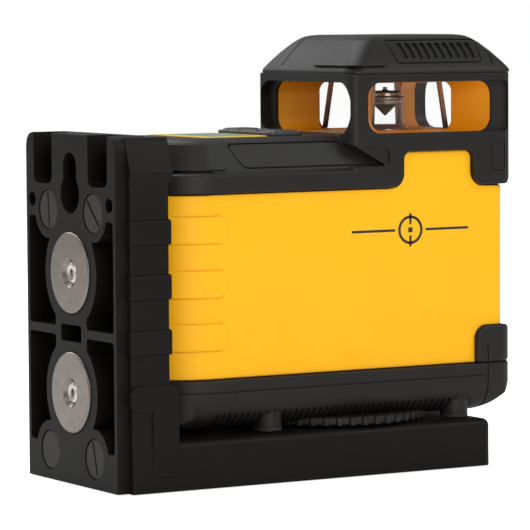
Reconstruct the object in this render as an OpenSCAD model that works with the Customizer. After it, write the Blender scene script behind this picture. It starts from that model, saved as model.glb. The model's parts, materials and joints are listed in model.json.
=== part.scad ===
// Cross-line and ring laser level on a magnetic turning bracket.
// Origin: the tripod-thread and turning axis at the resting surface, +Z up.
// The magnet plate faces -X, the laser tower stands towards +X.

/* [Bracket] */
// Length of the foot in front of the turning axis
foot_front = 43.6; // [40:0.2:50]
// Distance from the turning axis to the outer face of the magnet plate
plate_out = 91.8; // [90:0.2:96]
// Thickness of the magnet plate
plate_t = 11.8; // [10:0.2:11.8]
// Width of the magnet plate
plate_w = 60; // [58:1:62]
// Height of the magnet plate
plate_h = 109.5; // [108:0.5:112]
// Width of the foot
foot_w = 66; // [64:1:70]
// Height of the foot's top face
foot_h = 15.5; // [15.5:0.1:15.5]
// Outer diameter of a ring magnet
magnet_d = 25.4; // [24:0.1:26]
// Height of the lower magnet's centre
magnet_low = 29; // [28:0.5:30]
// Height of the upper magnet's centre
magnet_high = 66.4; // [65:0.5:67]

/* [Turning body] */
// Width of the yellow shells
shell_w = 55; // [54:0.5:55]
// Distance from the turning axis back to the shells' rear end
shell_back = 75.5; // [74:0.5:75.5]
// Distance from the turning axis forward to the shells' front end
shell_front = 52.5; // [52:0.5:53]
// Wall thickness of the shells
wall = 2.4; // [2:0.1:2.6]
// How far the soft black parts stand proud of the shells at the sides
proud = 2; // [1.8:0.1:2]
// Height of the lower edge of the shells
shell_low = 33.4; // [33.4:0.1:33.6]
// Height of the upper edge of the shells
shell_high = 90.5; // [90:0.1:90.5]
// Height of the raised tabs under the tower
tab_high = 102.2; // [101:0.1:102.2]
// Height of the deck beside the tower
deck_z = 107.8; // [107.6:0.1:107.8]

/* [Tower] */
// Distance from the turning axis to the prism axis
prism_x = 24; // [24:0.5:24]
// Length of the tower along X
tower_l = 62; // [62:0.5:63]
// Height of the seam under the cap
cap_low = 127; // [127:0.1:127.4]
// Total height
top_z = 139.5; // [139:0.1:140]
// Lower edge of the windows
window_low = 107.9; // [107.9:0.1:108]
// Upper edge of the windows
window_high = 124.6; // [124:0.1:124.6]
// Size of the lantern frame across its flats
lantern_w = 56; // [55:0.5:56]

/* [Pendulum] */
// Height of the gimbal axes
gimbal_z = 95; // [95:0.5:95]
// Radius of the pendulum tube
tube_r = 8.2; // [8:0.1:8.4]
// Underside of the copper damping plate
damper_z = 43; // [43:0.1:43.4]

/* [Batteries] */
// Length of an AA cell
cell_l = 50.5; // [50:0.1:50.5]
// Radius of an AA cell
cell_r = 7.1; // [7:0.05:7.15]

/* [Hidden] */
$fn = 64;

// shared derived sizes
eps = 0.01;
sw = shell_w / 2;                 // half width of the shells
bw = sw + proud;                  // half width of the black parts
black_back = shell_back + 0.5;    // the black parts' rear end
black_front = shell_front + 2.5;  // the black parts' front end
corner_r = 18;                    // rear corners of the shells in plan
plate_in = plate_out - plate_t;   // inner face of the magnet plate
plate_y = plate_w / 2;
foot_y = foot_w / 2;
foot_low = 0.3;                   // the pads hold the foot this far up
plug_y = 15;
plug_r = 6.2;
plug_high = 85.5;
plug_low = 9.6;
cheek_x = 88;                     // outer edge of the grip cheeks
cheek_in = 74.7;                  // edge of the cheeks beside the body
cheek_y = 32.2;
bar_y = 33.2;
bar_h = 7.8;
bar_tops = [84, 67.3, 50.3, 33.2];
screw_hole_y = 25.9;
screw_hole_z = 88.4;
screw_hole_r = 2.3;
stud_r = 4;
run = 0.05;                       // radial gap of a running fit
post_x = 35;
post_y = 23.5;
post_r = 4.5;
tray_low = 19;
tray_high = 33.1;
tray_floor = 23;
screw_at = [[-62, 12], [40, 17]];  // housing screws, mirrored to both sides
tab_x = [prism_x - 11.2, prism_x + 15.2];
tower_x0 = prism_x - tower_l / 2;
tower_x1 = prism_x + tower_l / 2;
tower_in = lantern_w / 2 + 0.1;
cover_screw_x = [-65, -18];
foot_split = -71.9;               // where the foot's own node meets the plate's
key_x = -23.4;
key_y = [-11.5, 0, 11.5];         // centres of the three keys, front to back
key_size = [10, 9.5];
bezel_size = [13.2, 34];
bezel_h = 1.3;
key_proud = 1.7;                  // height of the keys over the deck
board_z = 99;
hinge_y = sw + 0.4;
hinge_z = 38;
door_x = [-56, 0];
door_high = 78;
door_gap = 0.3;
knuckle_r = 1.4;
hinge_pin_r = 0.75;
lock_y = sw - 0.6;
ramp_slope = 0.4;                 // lift of the plunger per travel of the slider
pin_r = 1;                        // gimbal pins
cell_y = [1.5, 17];
cell_z = [45.9, 60.6];
plate_x = [-56.5, 0];             // facing sides of the contact plates

// ---------- shared shapes ----------

// rounded plan outline: rear corners rl, front corners rr
module plan(x0, x1, hw, rl, rr) {
    translate([x0 + rl, -hw]) square([x1 - x0 - rl - rr, 2 * hw]);
    translate([x0, rl - hw]) square([rl + eps, 2 * (hw - rl)]);
    translate([x1 - rr - eps, rr - hw]) square([rr + eps, 2 * (hw - rr)]);
    for (s = [-1, 1]) {
        translate([x0 + rl, s * (hw - rl)]) circle(rl);
        translate([x1 - rr, s * (hw - rr)]) circle(rr);
    }
}

// plan of the shells, moved inwards by d
module shell_plan(d) {
    plan(d - shell_back, shell_front - d, sw - d, corner_r - d, 4 - min(d, 3));
}

// plan of the black parts, moved inwards by d at the sides and e at the front end
module black_plan(d, e) {
    plan(d - black_back, black_front - e, bw - d, 20 - min(d, 12), 6 - min(d, 3));
}

// thin slab of a plan, for hulls
module slab(z, h = 0.2) {
    translate([0, 0, z]) linear_extrude(h) children();
}

// box given by its corners
module box(a, b) {
    translate(a) cube(b - a);
}

module rounded_box(a, b, r) {
    translate([a[0], a[1], a[2]])
        linear_extrude(b[2] - a[2])
            translate([(b[0] - a[0]) / 2, (b[1] - a[1]) / 2])
                rounded_rect(b[0] - a[0], b[1] - a[1], r);
}

module rounded_rect(w, h, r) {
    square([w - 2 * r, h], center = true);
    square([w, h - 2 * r], center = true);
    for (i = [-1, 1], j = [-1, 1]) translate([i * (w / 2 - r), j * (h / 2 - r)]) circle(r);
}

// cylinder along X from x0 to x1
module rod_x(x0, x1, y, z, r) {
    translate([x0, y, z]) rotate([0, 90, 0]) cylinder(h = x1 - x0, r = r);
}

// cylinder along Y from y0 to y1
module rod_y(x, y0, y1, z, r) {
    translate([x, y0, z]) rotate([-90, 0, 0]) cylinder(h = y1 - y0, r = r);
}

// prism along X of an outline drawn in (y, z)
module along_x(x0, x1) {
    translate([x0, 0, 0]) rotate([90, 0, 90]) linear_extrude(x1 - x0) children();
}

// prism along Y of an outline drawn in (x, z)
module along_y(y0, y1) {
    translate([0, y1, 0]) rotate([90, 0, 0]) linear_extrude(y1 - y0) children();
}

// screw with a flat countersunk head, standing along +Z with its head at the bottom
module screw(r, head_r, head_h, length) {
    difference() {
        union() {
            cylinder(h = length, r = r);
            cylinder(h = head_h, r1 = head_r, r2 = r);
        }
        translate([0, 0, -eps]) cylinder(h = head_h * 0.7, r = r * 0.62, $fn = 6);
    }
}

// ---------- bracket ----------

// outline of the magnet plate in (y, z)
module plate_outline() {
    polygon([
        [-plate_y, foot_low], [plate_y, foot_low], [plate_y, plate_h - 4],
        [plate_y - 4, plate_h], [4 - plate_y, plate_h], [-plate_y, plate_h - 4]
    ]);
}

// sunk areas left and right of the magnets, bounded by rings around magnets and plugs
module side_pockets() {
    difference() {
        for (s = [-1, 1]) {
            translate([s * 19.3, 66.3]) square([18, 34], center = true);
            translate([s * 19.3, 29.4]) square([18, 34.4], center = true);
        }
        for (z = [magnet_low, magnet_high]) translate([0, z]) circle(17.2);
        for (s = [-1, 1]) {
            translate([s * plug_y, plug_high]) circle(9);
            translate([s * plug_y, plug_low]) circle(9.3);
        }
    }
}

module keyhole_outline() {
    translate([0, 91]) circle(6.25);
    translate([-4.4, 91]) square([8.8, 8.5]);
    translate([0, 99.5]) circle(4.4);
}

module grip_cheek() {
    box([-cheek_x, 28.5, foot_h - 1], [-cheek_in, cheek_y, 97.5]);
    box([-plate_out + 3, 28.5, foot_low], [-plate_in + 8, foot_y, foot_h + 1.5]);
    box([-plate_in - 4, 29.5, foot_h], [-72, bar_y, 33.2]);
    // shoulder at the top
    along_x(-cheek_x, -cheek_in)
        polygon([[28.5, 97.5], [bar_y, 97.5], [bar_y, 99], [28.5, 109]]);
    for (z = bar_tops)
        box([-cheek_x - 0.5, 30, z - bar_h], [0.5 - cheek_in, bar_y, z]);
}

// plate with its cheeks and the root of the foot
module bracket_frame() color([0.14, 0.13, 0.12]) intersection() {
    bracket_moulding();
    box([-100, -50, -1], [foot_split, 50, 120]);
}

module bracket_foot() color([0.14, 0.13, 0.12]) intersection() {
    bracket_moulding();
    box([foot_split, -50, -1], [60, 50, 30]);
}

module bracket_moulding() difference() {
    union() {
        along_x(-plate_out, -plate_in) plate_outline();
        // foot with chamfered upper edges
        along_x(-cheek_x, foot_front) polygon([
            [-foot_y, foot_low], [foot_y, foot_low], [foot_y, foot_h - 2],
            [foot_y - 2, foot_h], [2 - foot_y, foot_h], [-foot_y, foot_h - 2]
        ]);
        // fillet between foot and plate
        difference() {
            box([-plate_in - 1, -28, foot_h - 1], [4 - plate_in, 28, foot_h + 3]);
            rod_y(4 - plate_in, -30, 30, foot_h + 4, 4);
        }
        grip_cheek();
        mirror([0, 1, 0]) grip_cheek();
    }
    // rounded front corners of the foot
    for (s = [-1, 1]) difference() {
        translate([foot_front - 3, s * (foot_y - 3), -1]) box([0, min(0, s * 4), 0], [4, max(0, s * 4), 20]);
        translate([foot_front - 3, s * (foot_y - 3), -1]) cylinder(h = 20, r = 3);
    }
    // open-topped strap slots
    for (s = [-1, 1]) {
        box([-plate_out - 1, min(s * 12.1, s * 24.8), 96.5], [-plate_in - 3.6, max(s * 12.1, s * 24.8), plate_h + 1]);
        box([-plate_out - 1, min(s * 15.1, s * 21.8), 93.5], [-plate_in - 3.6, max(s * 15.1, s * 21.8), 97]);
        for (y = [15.1, 21.8]) rod_x(-plate_out - 1, -plate_in - 3.6, s * y, 96.5, 3);
    }
    // keyhole with a wider hollow behind it
    along_x(-plate_out - 1, -plate_out + 3) keyhole_outline();
    rod_x(-plate_out + 2.5, -plate_in - 2.4, 0, 91, 6.25);
    box([-plate_out + 2.9, -6.25, 91], [-plate_in - 2.4, 6.25, 103.9]);
    // pockets beside the magnets and between them
    along_x(-plate_out - 1, -plate_in - 2.8) side_pockets();
    box([-plate_out - 1, -6.8, 44.5], [-plate_in - 2.8, 6.8, 50]);
    // seats of the magnets and their screws
    for (z = [magnet_low, magnet_high]) {
        rod_x(-plate_out - 1, -plate_out + 4, 0, z, magnet_d / 2 + 0.1);
        rod_x(-plate_out + 3, -plate_in + 1, 0, z, 1.75);
    }
    // seats of the slotted plugs
    for (s = [-1, 1], z = [plug_low, plug_high])
        rod_x(-plate_out - 1, -plate_out + 5, s * plug_y, z, plug_r + 0.05);
    // screw holes for fixing the plate to a wall
    for (s = [-1, 1])
        rod_x(-plate_out - 1, -plate_out + 8, s * screw_hole_y, screw_hole_z, screw_hole_r);
    // turning axis: thread insert, stud head pocket and bush
    translate([0, 0, -1]) cylinder(h = 8.9, r = 11);
    cylinder(h = 10.6, r = 9);
    cylinder(h = 20, r = 6);
    // second thread insert
    translate([26, 0, -1]) cylinder(h = 12, r = 5);
    // pockets that lighten the underside, and the recess of their cover
    for (s = [-1, 1]) box([-66, min(s * 3, s * 22), -1], [-17, max(s * 3, s * 22), 11]);
    cover_outline(-1, foot_low + 1.2, 0);
    for (x = cover_screw_x, s = [-1, 1]) translate([x, s * 24.2, 0]) cylinder(h = 9, r = 1.1);
    // seats of the rubber pads
    for (x = [-80, 38.5], s = [-1, 1]) translate([x, s * 26, -1]) cylinder(h = 2.2, r = 4);
}

// plan of the steel cover under the foot, made smaller by gap
module cover_outline(z0, z1, gap) {
    translate([0, 0, z0]) linear_extrude(z1 - z0)
        translate([-41.5, 0]) rounded_rect(57 - 2 * gap, 53 - 2 * gap, 3);
}

module foot_cover() color([0.6, 0.6, 0.6]) difference() {
    cover_outline(foot_low + 0.1, foot_low + 1.2, 0.15);
    for (x = cover_screw_x, s = [-1, 1]) translate([x, s * 24.2, -1]) cylinder(h = 9, r = 1.2);
}

module cover_screws() color([0.5, 0.5, 0.5])
    for (x = cover_screw_x, s = [-1, 1]) translate([x, s * 24.2, 0.45]) screw(1.08, 1.15, 0.4, 7.5);

module ring_magnets() color([0.62, 0.58, 0.55])
    for (z = [magnet_low, magnet_high]) difference() {
        rod_x(-plate_out - 0.6, -plate_out + 4, 0, z, magnet_d / 2);
        rod_x(-plate_out - 1, -plate_out + 5, 0, z, 1.85);
        translate([-plate_out - 0.6 - eps, 0, z]) rotate([0, 90, 0]) cylinder(h = 3, r1 = 4.65, r2 = 1.85);
    }

module magnet_screws() color([0.7, 0.68, 0.65])
    for (z = [magnet_low, magnet_high])
        translate([-plate_out + 0.2, 0, z]) rotate([0, 90, 0]) screw(1.7, 3.35, 1.9, 10.5);

module slotted_plugs() color([0.17, 0.16, 0.15])
    for (s = [-1, 1], z = [plug_low, plug_high]) difference() {
        rod_x(-plate_out + 0.2, -plate_out + 5, s * plug_y, z, plug_r);
        translate([-plate_out, s * plug_y, z]) rotate([s * 20 + (z > 50 ? -25 : 5), 0, 0])
            cube([2.4, 0.9, 11.4], center = true);
    }

module foot_pads() color([0.1, 0.1, 0.1])
    for (x = [-80, 38.5], s = [-1, 1]) translate([x, s * 26, 0]) cylinder(h = 1.2, r = 3.9);

module thread_insert_large() color([0.75, 0.62, 0.35]) difference() {
    translate([0, 0, foot_low]) cylinder(h = 7.6, r = 11);
    cylinder(h = 9, r = 6.9);
}

module thread_insert_small() color([0.75, 0.62, 0.35]) difference() {
    translate([26, 0, foot_low]) cylinder(h = 10.7, r = 5);
    translate([26, 0, 0]) cylinder(h = 9.3, r = 2.65);
}

module pivot_bush() color([0.8, 0.65, 0.35]) difference() {
    translate([0, 0, 10.6]) cylinder(h = foot_h - 10.6, r = 6);
    cylinder(h = 20, r = stud_r + run);
}

module friction_washer() color([0.2, 0.2, 0.22]) difference() {
    translate([0, 0, foot_h]) cylinder(h = 0.5, r = 26);
    cylinder(h = 20, r = 7);
}

// ---------- lower part of the turning body ----------

// outer form of the tray: its underside rises in a curve to the sides
module tray_form() {
    hull() {
        slab(27, tray_high - 27, $fn = 32) black_plan(0, 0, $fn = 32);
        slab(23.5) black_plan(1, 2.5, $fn = 32);
        slab(21) black_plan(3.4, 6.5, $fn = 32);
        slab(tray_low) black_plan(9, 14, $fn = 32);
    }
}

module base_tray() color([0.13, 0.12, 0.11]) difference() {
    union() {
        difference() {
            tray_form();
            translate([0, 0, tray_floor]) linear_extrude(20) shell_plan(wall);
        }
        // boss around the stud, screw bosses and pillars under the damper
        translate([0, 0, tray_floor - 1]) cylinder(h = 7, r = 9);
        for (p = screw_at, s = [-1, 1]) translate([p[0], s * p[1], tray_floor - 1]) cylinder(h = 11.1, r = 3.6);
        for (x = [-1, 1], s = [-1, 1])
            translate([prism_x + x * 13.5, s * 9, tray_floor - 1]) cylinder(h = 13, r = 1.8);
        // posts that carry the unit when it stands on its own
        for (x = [-1, 1], s = [-1, 1])
            translate([x * post_x, s * post_y, 17.1]) cylinder(h = 8, r = post_r);
    }
    cylinder(h = 40, r = stud_r + 0.02);
    for (p = screw_at, s = [-1, 1]) translate([p[0], s * p[1], 0]) {
        cylinder(h = 50, r = 1.7);
        cylinder(h = 24, r = 3.1);
    }
    // slot for the transport lock
    box([12.7, 24, 27], [27.3, 32, 30]);
}

module post_tips() color([0.08, 0.08, 0.08])
    for (x = [-1, 1], s = [-1, 1])
        translate([x * post_x, s * post_y, 15.9]) cylinder(h = 1.2, r = post_r);

module turn_ring() color([0.12, 0.11, 0.1]) difference() {
    union() {
        translate([0, 0, 16.2]) cylinder(h = tray_low - 16.2, r = 32.4);
        for (a = [0 : 7.5 : 359]) rotate(a) translate([32.2, -1, 16.2]) cube([1, 2, tray_low - 16.2]);
    }
    cylinder(h = 30, r = stud_r + 0.02);
}

module pivot_stud() color([0.72, 0.72, 0.74]) {
    translate([0, 0, 8.3]) cylinder(h = 2.1, r = 8);
    translate([0, 0, 10.3]) cylinder(h = 24.7, r = stud_r);
}

module pivot_nut() color([0.75, 0.75, 0.77]) difference() {
    translate([0, 0, 29]) cylinder(h = 5, r = 7.4, $fn = 6);
    cylinder(h = 40, r = stud_r + 0.02);
}

module tray_gasket() color([0.05, 0.05, 0.05])
    translate([0, 0, tray_high]) linear_extrude(shell_low - tray_high)
        difference() { shell_plan(0.6); shell_plan(1.8); }

module end_guard() color([0.13, 0.12, 0.11])
    translate([0, 0, tray_high]) linear_extrude(12.4) difference() {
        intersection() {
            black_plan(0, 0);
            translate([39.2, -40]) square([30, 80]);
        }
        shell_plan(-0.02);
    }

module housing_screws() color([0.3, 0.3, 0.3])
    for (p = screw_at, s = [-1, 1]) translate([p[0], s * p[1], 0]) difference() {
        union() {
            translate([0, 0, 21.2]) cylinder(h = 2.8, r = 2.9);
            translate([0, 0, 23]) cylinder(h = 22, r = 1.5);
        }
        translate([0, 0, 21]) cylinder(h = 1.7, r = 1.4, $fn = 6);
    }

// ---------- shells ----------

// closed ring of the shell walls with screw bosses
module shell_ring() {
    translate([0, 0, shell_low]) linear_extrude(shell_high - shell_low)
        difference() { shell_plan(0); shell_plan(wall); }
    for (s = [-1, 1]) {
        // raised tab below the tower
        box([tab_x[0], min(s * sw, s * (sw - wall)), shell_high - 1],
            [tab_x[1], max(s * sw, s * (sw - wall)), tab_high]);
        for (p = screw_at) difference() {
            union() {
                translate([p[0], s * p[1], shell_low + 1]) cylinder(h = 12, r = 3.4);
                box([p[0] - 1, min(s * p[1], s * (sw - 5)), shell_low + 1],
                    [p[0] + 1, max(s * p[1], s * (sw - 5)), shell_low + 13]);
            }
            translate([p[0], s * p[1], 30]) cylinder(h = 30, r = 1.52);
        }
    }
    // finger ridges
    for (z = [46.5, 63, 79.8], s = [-1, 1]) ridge(z, s);
}

module ridge(z, s) {
    intersection() {
        translate([0, 0, z - 4.3]) linear_extrude(8.6)
            difference() { plan(-shell_back - 0.7, shell_front, sw + 0.7, corner_r + 0.7, 4); shell_plan(0.5); }
        union() {
            box([-80, min(0, s * 40), z - 4.3], [-56, max(0, s * 40), z + 4.3]);
            rod_y(-56, min(0, s * 40), max(0, s * 40), z, 4.3);
        }
    }
}

module front_shell() color([1, 0.72, 0.12]) {
    intersection() {
        shell_ring();
        box([-100, -50, 0], [100, -0.02, 150]);
    }
    // standoffs of the circuit board
    for (x = [-48, 0], z = [44, 80]) rod_y(x, -sw + 1, -21.5, z, 2);
}

module rear_shell() color([1, 0.72, 0.12]) {
    difference() {
        intersection() {
            shell_ring();
            box([-100, 0.02, 0], [100, 50, 150]);
        }
        // battery opening
        box([door_x[0] - door_gap, sw - 5, hinge_z + 3], [door_x[1] + door_gap, sw + 5, door_high + door_gap]);
        // room for the door's own knuckle
        box([door_x[0] + 12, sw - 5, hinge_z - 1.9], [door_x[1] - 12, sw + 5, hinge_z + 4]);
        rod_x(door_x[0] - 1, door_x[1] + 1, hinge_y, hinge_z, hinge_pin_r + run);
    }
    for (x = [door_x[0], door_x[1] - 10]) shell_knuckle(x);
}

module shell_knuckle(x) difference() {
    rod_x(x, x + 10, hinge_y, hinge_z, knuckle_r);
    rod_x(x - 1, x + 11, hinge_y, hinge_z, hinge_pin_r + run);
    box([x - 1, 0, 0], [x + 11, sw, 100]);
}

// ---------- top ----------

module deck_form(d) {
    hull() {
        slab(shell_high + 0.3 - (d > 0 ? 2 : 0), 7.4) black_plan(d, d, $fn = 32);
        slab(deck_z - 2.2 - d) black_plan(5.6 + d, 5.6 + d, $fn = 32);
        slab(deck_z - 0.2 - d) black_plan(9.5 + d, 9.5 + d, $fn = 32);
    }
}

module tower_plan(half_x, half_y, r) {
    translate([prism_x, 0]) rounded_rect(2 * half_x, 2 * half_y, r);
}

module top_cover() color([0.14, 0.13, 0.12]) {
    cover_shell();
    // standoffs of the key board
    for (x = [-32, -14.5], s = [-1, 1]) translate([x, s * 10, board_z + 1.2]) cylinder(h = 5.2, r = 2);
}

module cover_shell() difference() {
    union() {
        deck_form(0);
        translate([0, 0, shell_high + 0.3])
            linear_extrude(window_low - shell_high - 0.3) tower_plan(tower_l / 2, bw, 2.5);
    }
    // hollow under the deck and inside the tower
    difference() {
        deck_form(wall + 0.4);
        box([tower_x0 + 1.6, -40, 100], [80, 40, 120]);
    }
    translate([0, 0, 80]) linear_extrude(26.4) tower_plan(tower_in, sw - wall, 2);
    translate([0, 0, 106.3]) linear_extrude(40) tower_plan(tower_in, tower_in, 1);
    // the shells' tabs stand in these notches
    for (s = [-1, 1])
        box([tab_x[0] - 0.1, min(s * (sw - wall - 0.1), s * 40), 80],
            [tab_x[1] + 0.1, max(s * (sw - wall - 0.1), s * 40), tab_high + 0.1]);
    key_openings();
}

module key_openings()
    for (y = key_y)
        box([key_x - key_size[0] / 2 - 0.25, y - key_size[1] / 2 - 0.25, 100],
            [key_x + key_size[0] / 2 + 0.25, y + key_size[1] / 2 + 0.25, 112]);

// corner posts and head of the tower, between the deck and the cap
module tower_frame() color([0.14, 0.13, 0.12]) difference() {
    translate([0, 0, window_low]) linear_extrude(cap_low - window_low) tower_plan(tower_l / 2, bw, 2.5);
    translate([0, 0, window_low - 1]) linear_extrude(30) tower_plan(tower_in, tower_in, 1);
    // windows through front, back, left and right walls
    box([prism_x - 24.85, -40, window_low - 1], [tower_x1 - 2, 40, window_high]);
    box([tower_x0 - 0.1, 1.4 - bw, window_low - 1], [0, bw - 1.4, window_high]);
    box([30, -23.6, window_low - 1], [80, 23.6, window_high]);
}

module tower_cap() color([0.14, 0.13, 0.12]) difference() {
    hull() {
        slab(cap_low, 1.2) tower_plan(tower_l / 2, bw, 3, $fn = 32);
        slab(cap_low + 6.5) tower_plan(tower_l / 2 - 4.6, bw - 4.6, 4, $fn = 32);
        slab(top_z - 1.2) tower_plan(tower_l / 2 - 10.6, bw - 10.6, 5, $fn = 32);
        slab(top_z - 0.2) tower_plan(tower_l / 2 - 13, bw - 13, 5, $fn = 32);
    }
    translate([prism_x, 0, cap_low - 1]) rotate(45)
        cylinder(h = 8, r1 = 38, r2 = 28, $fn = 4);
}

module lantern_frame() color([1, 0.7, 0.12]) {
    half = lantern_w / 2;
    difference() {
        for (z = [[window_low - 1.5, window_low], [window_high, window_high + 1.5]])
            translate([prism_x - half, -half, z[0]]) cube([lantern_w, lantern_w, z[1] - z[0]]);
        translate([prism_x, 0, 100]) cylinder(h = 10, r = 12.5);
        translate([prism_x, 0, 120]) cylinder(h = 10, r = 11.5);
    }
    // corner pillars with sloping reveals
    for (i = [-1, 1], j = [-1, 1])
        translate([prism_x, 0, window_low - eps]) scale([i, j, 1])
            linear_extrude(window_high - window_low + 2 * eps)
                polygon([[28, 28], [28, 22.9], [18.9, 15.5], [15.7, 15.7], [15.5, 18.9], [22.9, 28]]);
}

module window_panes() color([0.85, 0.9, 0.92, 0.4])
    for (a = [0 : 90 : 270]) translate([prism_x, 0, window_low + 0.05]) rotate(a)
        translate([0, -14.75, 0]) rotate([84, 0, 0]) linear_extrude(1)
            polygon([[-13.6, 0], [13.6, 0], [12, 16.5], [-12, 16.5]]);

module label_plate() color([0.95, 0.8, 0.2])
    rounded_box([-54, -18, deck_z], [key_x - bezel_size[0] / 2 - 0.4, 18, deck_z + 0.3], 2);

module keypad_bezel() color([0.15, 0.14, 0.14]) difference() {
    translate([key_x, 0, deck_z]) linear_extrude(bezel_h) rounded_rect(bezel_size[0], bezel_size[1], 1.5);
    key_openings();
}

// key with a wider foot under the deck
module key(y, ribbed) {
    translate([key_x, y, 0]) {
        difference() {
            translate([0, 0, 103.2]) linear_extrude(deck_z + key_proud - 103.2)
                rounded_rect(key_size[0], key_size[1], 1);
            if (ribbed) for (i = [-2 : 2]) translate([0, i * 1.6, deck_z + key_proud])
                cube([30, 0.6, 0.7], center = true);
        }
        translate([0, 0, 102.6]) linear_extrude(1.2) square([key_size[0] + 1, key_size[1] + 1], center = true);
    }
}

module key_lines() color([0.17, 0.16, 0.16]) key(key_y[0], true);
module key_power() color([0.17, 0.16, 0.16]) key(key_y[1], false);
module key_pulse() color([0.17, 0.16, 0.16]) key(key_y[2], true);

module key_board() color([0.1, 0.35, 0.2]) {
    box([-34.5, -17, board_z], [-12, 17, board_z + 1.2]);
    for (y = key_y) translate([key_x, y, board_z + 1.1]) cylinder(h = 1.4, r = 2.6);
}

module circuit_board() color([0.1, 0.35, 0.2]) {
    box([-52, -21.5, 40], [4, -20, 84]);
    for (x = [-44 : 14 : -2], z = [48, 62]) box([x, -20.1, z], [x + 8, -18.2, z + 7]);
    box([-20, -20.1, 74], [-4, -14, 81]);
    rod_y(-38, -20.1, -11, 77, 4);
}

module top_gasket() color([0.05, 0.05, 0.05])
    translate([0, 0, shell_high]) linear_extrude(0.3) difference() {
        shell_plan(0.6);
        shell_plan(1.8);
        for (s = [-1, 1]) translate([tab_x[0] - 0.5, s * sw - 4]) square([tab_x[1] - tab_x[0] + 1, 8]);
    }

// ---------- transport lock and damper ----------

module lock_slider() color([0.2, 0.19, 0.18]) {
    // wedge under the plunger
    along_y(-3.5, 3.5) polygon([[18, 23.3], [34, 23.3], [34, 25.5 + 16 * ramp_slope], [18, 25.5]]);
    box([21, 3, 23.4], [27, 24.6, 26]);
    box([21, 20, 24], [27, 24.6, 29.7]);
    box([21, 24, 27.3], [27, bw + 0.4, 29.7]);
    // thumb piece with grip ribs
    box([12, bw + 0.3, 26], [36, bw + 1.2, 31.5]);
    for (x = [14 : 3 : 34]) box([x - 0.7, bw + 1.1, 26.4], [x + 0.7, bw + 2, 31.1]);
}

module lock_plunger() color([0.8, 0.78, 0.7]) {
    z0 = 25.5 + (prism_x - 18) * ramp_slope + 0.1;
    along_y(-3, 3) polygon([
        [prism_x - 3, z0 - 3 * ramp_slope], [prism_x + 3, z0 + 3 * ramp_slope],
        [prism_x + 3, 31.3], [prism_x - 3, 31.3]
    ]);
    translate([prism_x, 0, 31.2]) cylinder(h = 6.1, r = 2.2);
    translate([prism_x, 0, 37.2]) cylinder(h = 1.7, r = 3);
}

module damper_seat() color([0.6, 0.6, 0.62]) difference() {
    box([prism_x - 16, -12, 35], [prism_x + 16, 12, 37]);
    translate([prism_x, 0, 30]) cylinder(h = 10, r = 2.2 + 0.08);
}

module damper_magnets() color([0.5, 0.5, 0.52])
    for (a = [45 : 90 : 315]) translate([prism_x, 0, 37]) rotate(a)
        translate([7.6, 0, 0]) cylinder(h = 4.2, r = 3.2);

// ---------- batteries ----------

module battery_tray() color([0.2, 0.2, 0.2]) {
    difference() {
        box([-58.2, -7.6, 37], [1.7, 24.6, 69.5]);
        box([plate_x[0] - 0.3, -6.1, 38.4], [plate_x[1] + 0.3, 26, 68.1]);
    }
    // legs down to the floor of the tray
    for (x = [-50, -14], y = [-6, 10]) box([x, y, tray_floor], [x + 3, y + 6, 37.1]);
}

// cells lie head to tail: the ones with odd index point to the rear end
module battery_cells() color([0.75, 0.5, 0.2])
    for (i = [0, 1], j = [0, 1]) cell_at(i, j) {
        cylinder(h = cell_l - 1, r = cell_r);
        translate([0, 0, cell_l - 1.1]) cylinder(h = 1.1, r = 2.7);
    }

// places a cell standing along +Z so that its button meets the contact plate
module cell_at(i, j) {
    forward = (i + j) % 2 == 0;
    translate([forward ? plate_x[1] - cell_l : plate_x[0] + cell_l, cell_y[i], cell_z[j]])
        rotate([0, forward ? 90 : -90, 0]) children();
}

module contact_plates() color([0.8, 0.8, 0.78])
    for (i = [0, 1], x = [plate_x[0] - 0.3, plate_x[1]])
        box([x, cell_y[i] - 4.5, cell_z[0] - 4.5], [x + 0.3, cell_y[i] + 4.5, cell_z[1] + 4.5]);

// sleeve-shaped envelope of each coil spring behind a cell
module contact_springs() color([0.75, 0.75, 0.75])
    for (i = [0, 1], j = [0, 1]) cell_at(i, j)
        translate([0, 0, cell_l + plate_x[0] - plate_x[1]]) difference() {
            cylinder(h = plate_x[1] - plate_x[0] - cell_l, r = 3.4);
            translate([0, 0, -1]) cylinder(h = 10, r = 2.8);
        }

module battery_door() color([1, 0.72, 0.12]) difference() {
    union() {
        box([door_x[0], sw - wall, hinge_z + 3.3], [door_x[1], sw, door_high]);
        // own knuckle and the web that carries it
        box([door_x[0] + 12.3, sw - wall, hinge_z + 1], [door_x[1] - 12.3, sw, hinge_z + 4]);
        rod_x(door_x[0] + 12.3, door_x[1] - 12.3, hinge_y, hinge_z, knuckle_r);
        box([door_x[0] + 12.3, sw - 0.6, hinge_z], [door_x[1] - 12.3, sw + 0.4, hinge_z + 1.5]);
        for (x = [-44 : 4 : -12]) box([x - 0.7, sw - 0.1, 68], [x + 0.7, sw + 0.5, 71]);
    }
    rod_x(door_x[0], door_x[1], hinge_y, hinge_z, hinge_pin_r + run);
    rod_y(-28, sw - 5, sw + 5, door_high - 4.2, 2.6 + run);
}

module door_hinge_pin() color([0.7, 0.7, 0.7])
    rod_x(door_x[0] + 0.5, door_x[1] - 0.5, hinge_y, hinge_z, hinge_pin_r);

// coin-slot lock: quarter turn, with a cam behind the wall
module door_lock() color([0.2, 0.2, 0.2]) difference() {
    union() {
        rod_y(-28, sw - wall - 1.7, sw + 0.3, door_high - 4.2, 2.6);
        box([-35, sw - wall - 1.6, door_high - 6.2], [-28, sw - wall - 0.3, door_high - 2.2]);
    }
    box([-30.2, sw - 0.7, door_high - 4.7], [-25.8, sw + 1, door_high - 3.7]);
}

// ---------- gimbal and pendulum ----------

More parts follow.
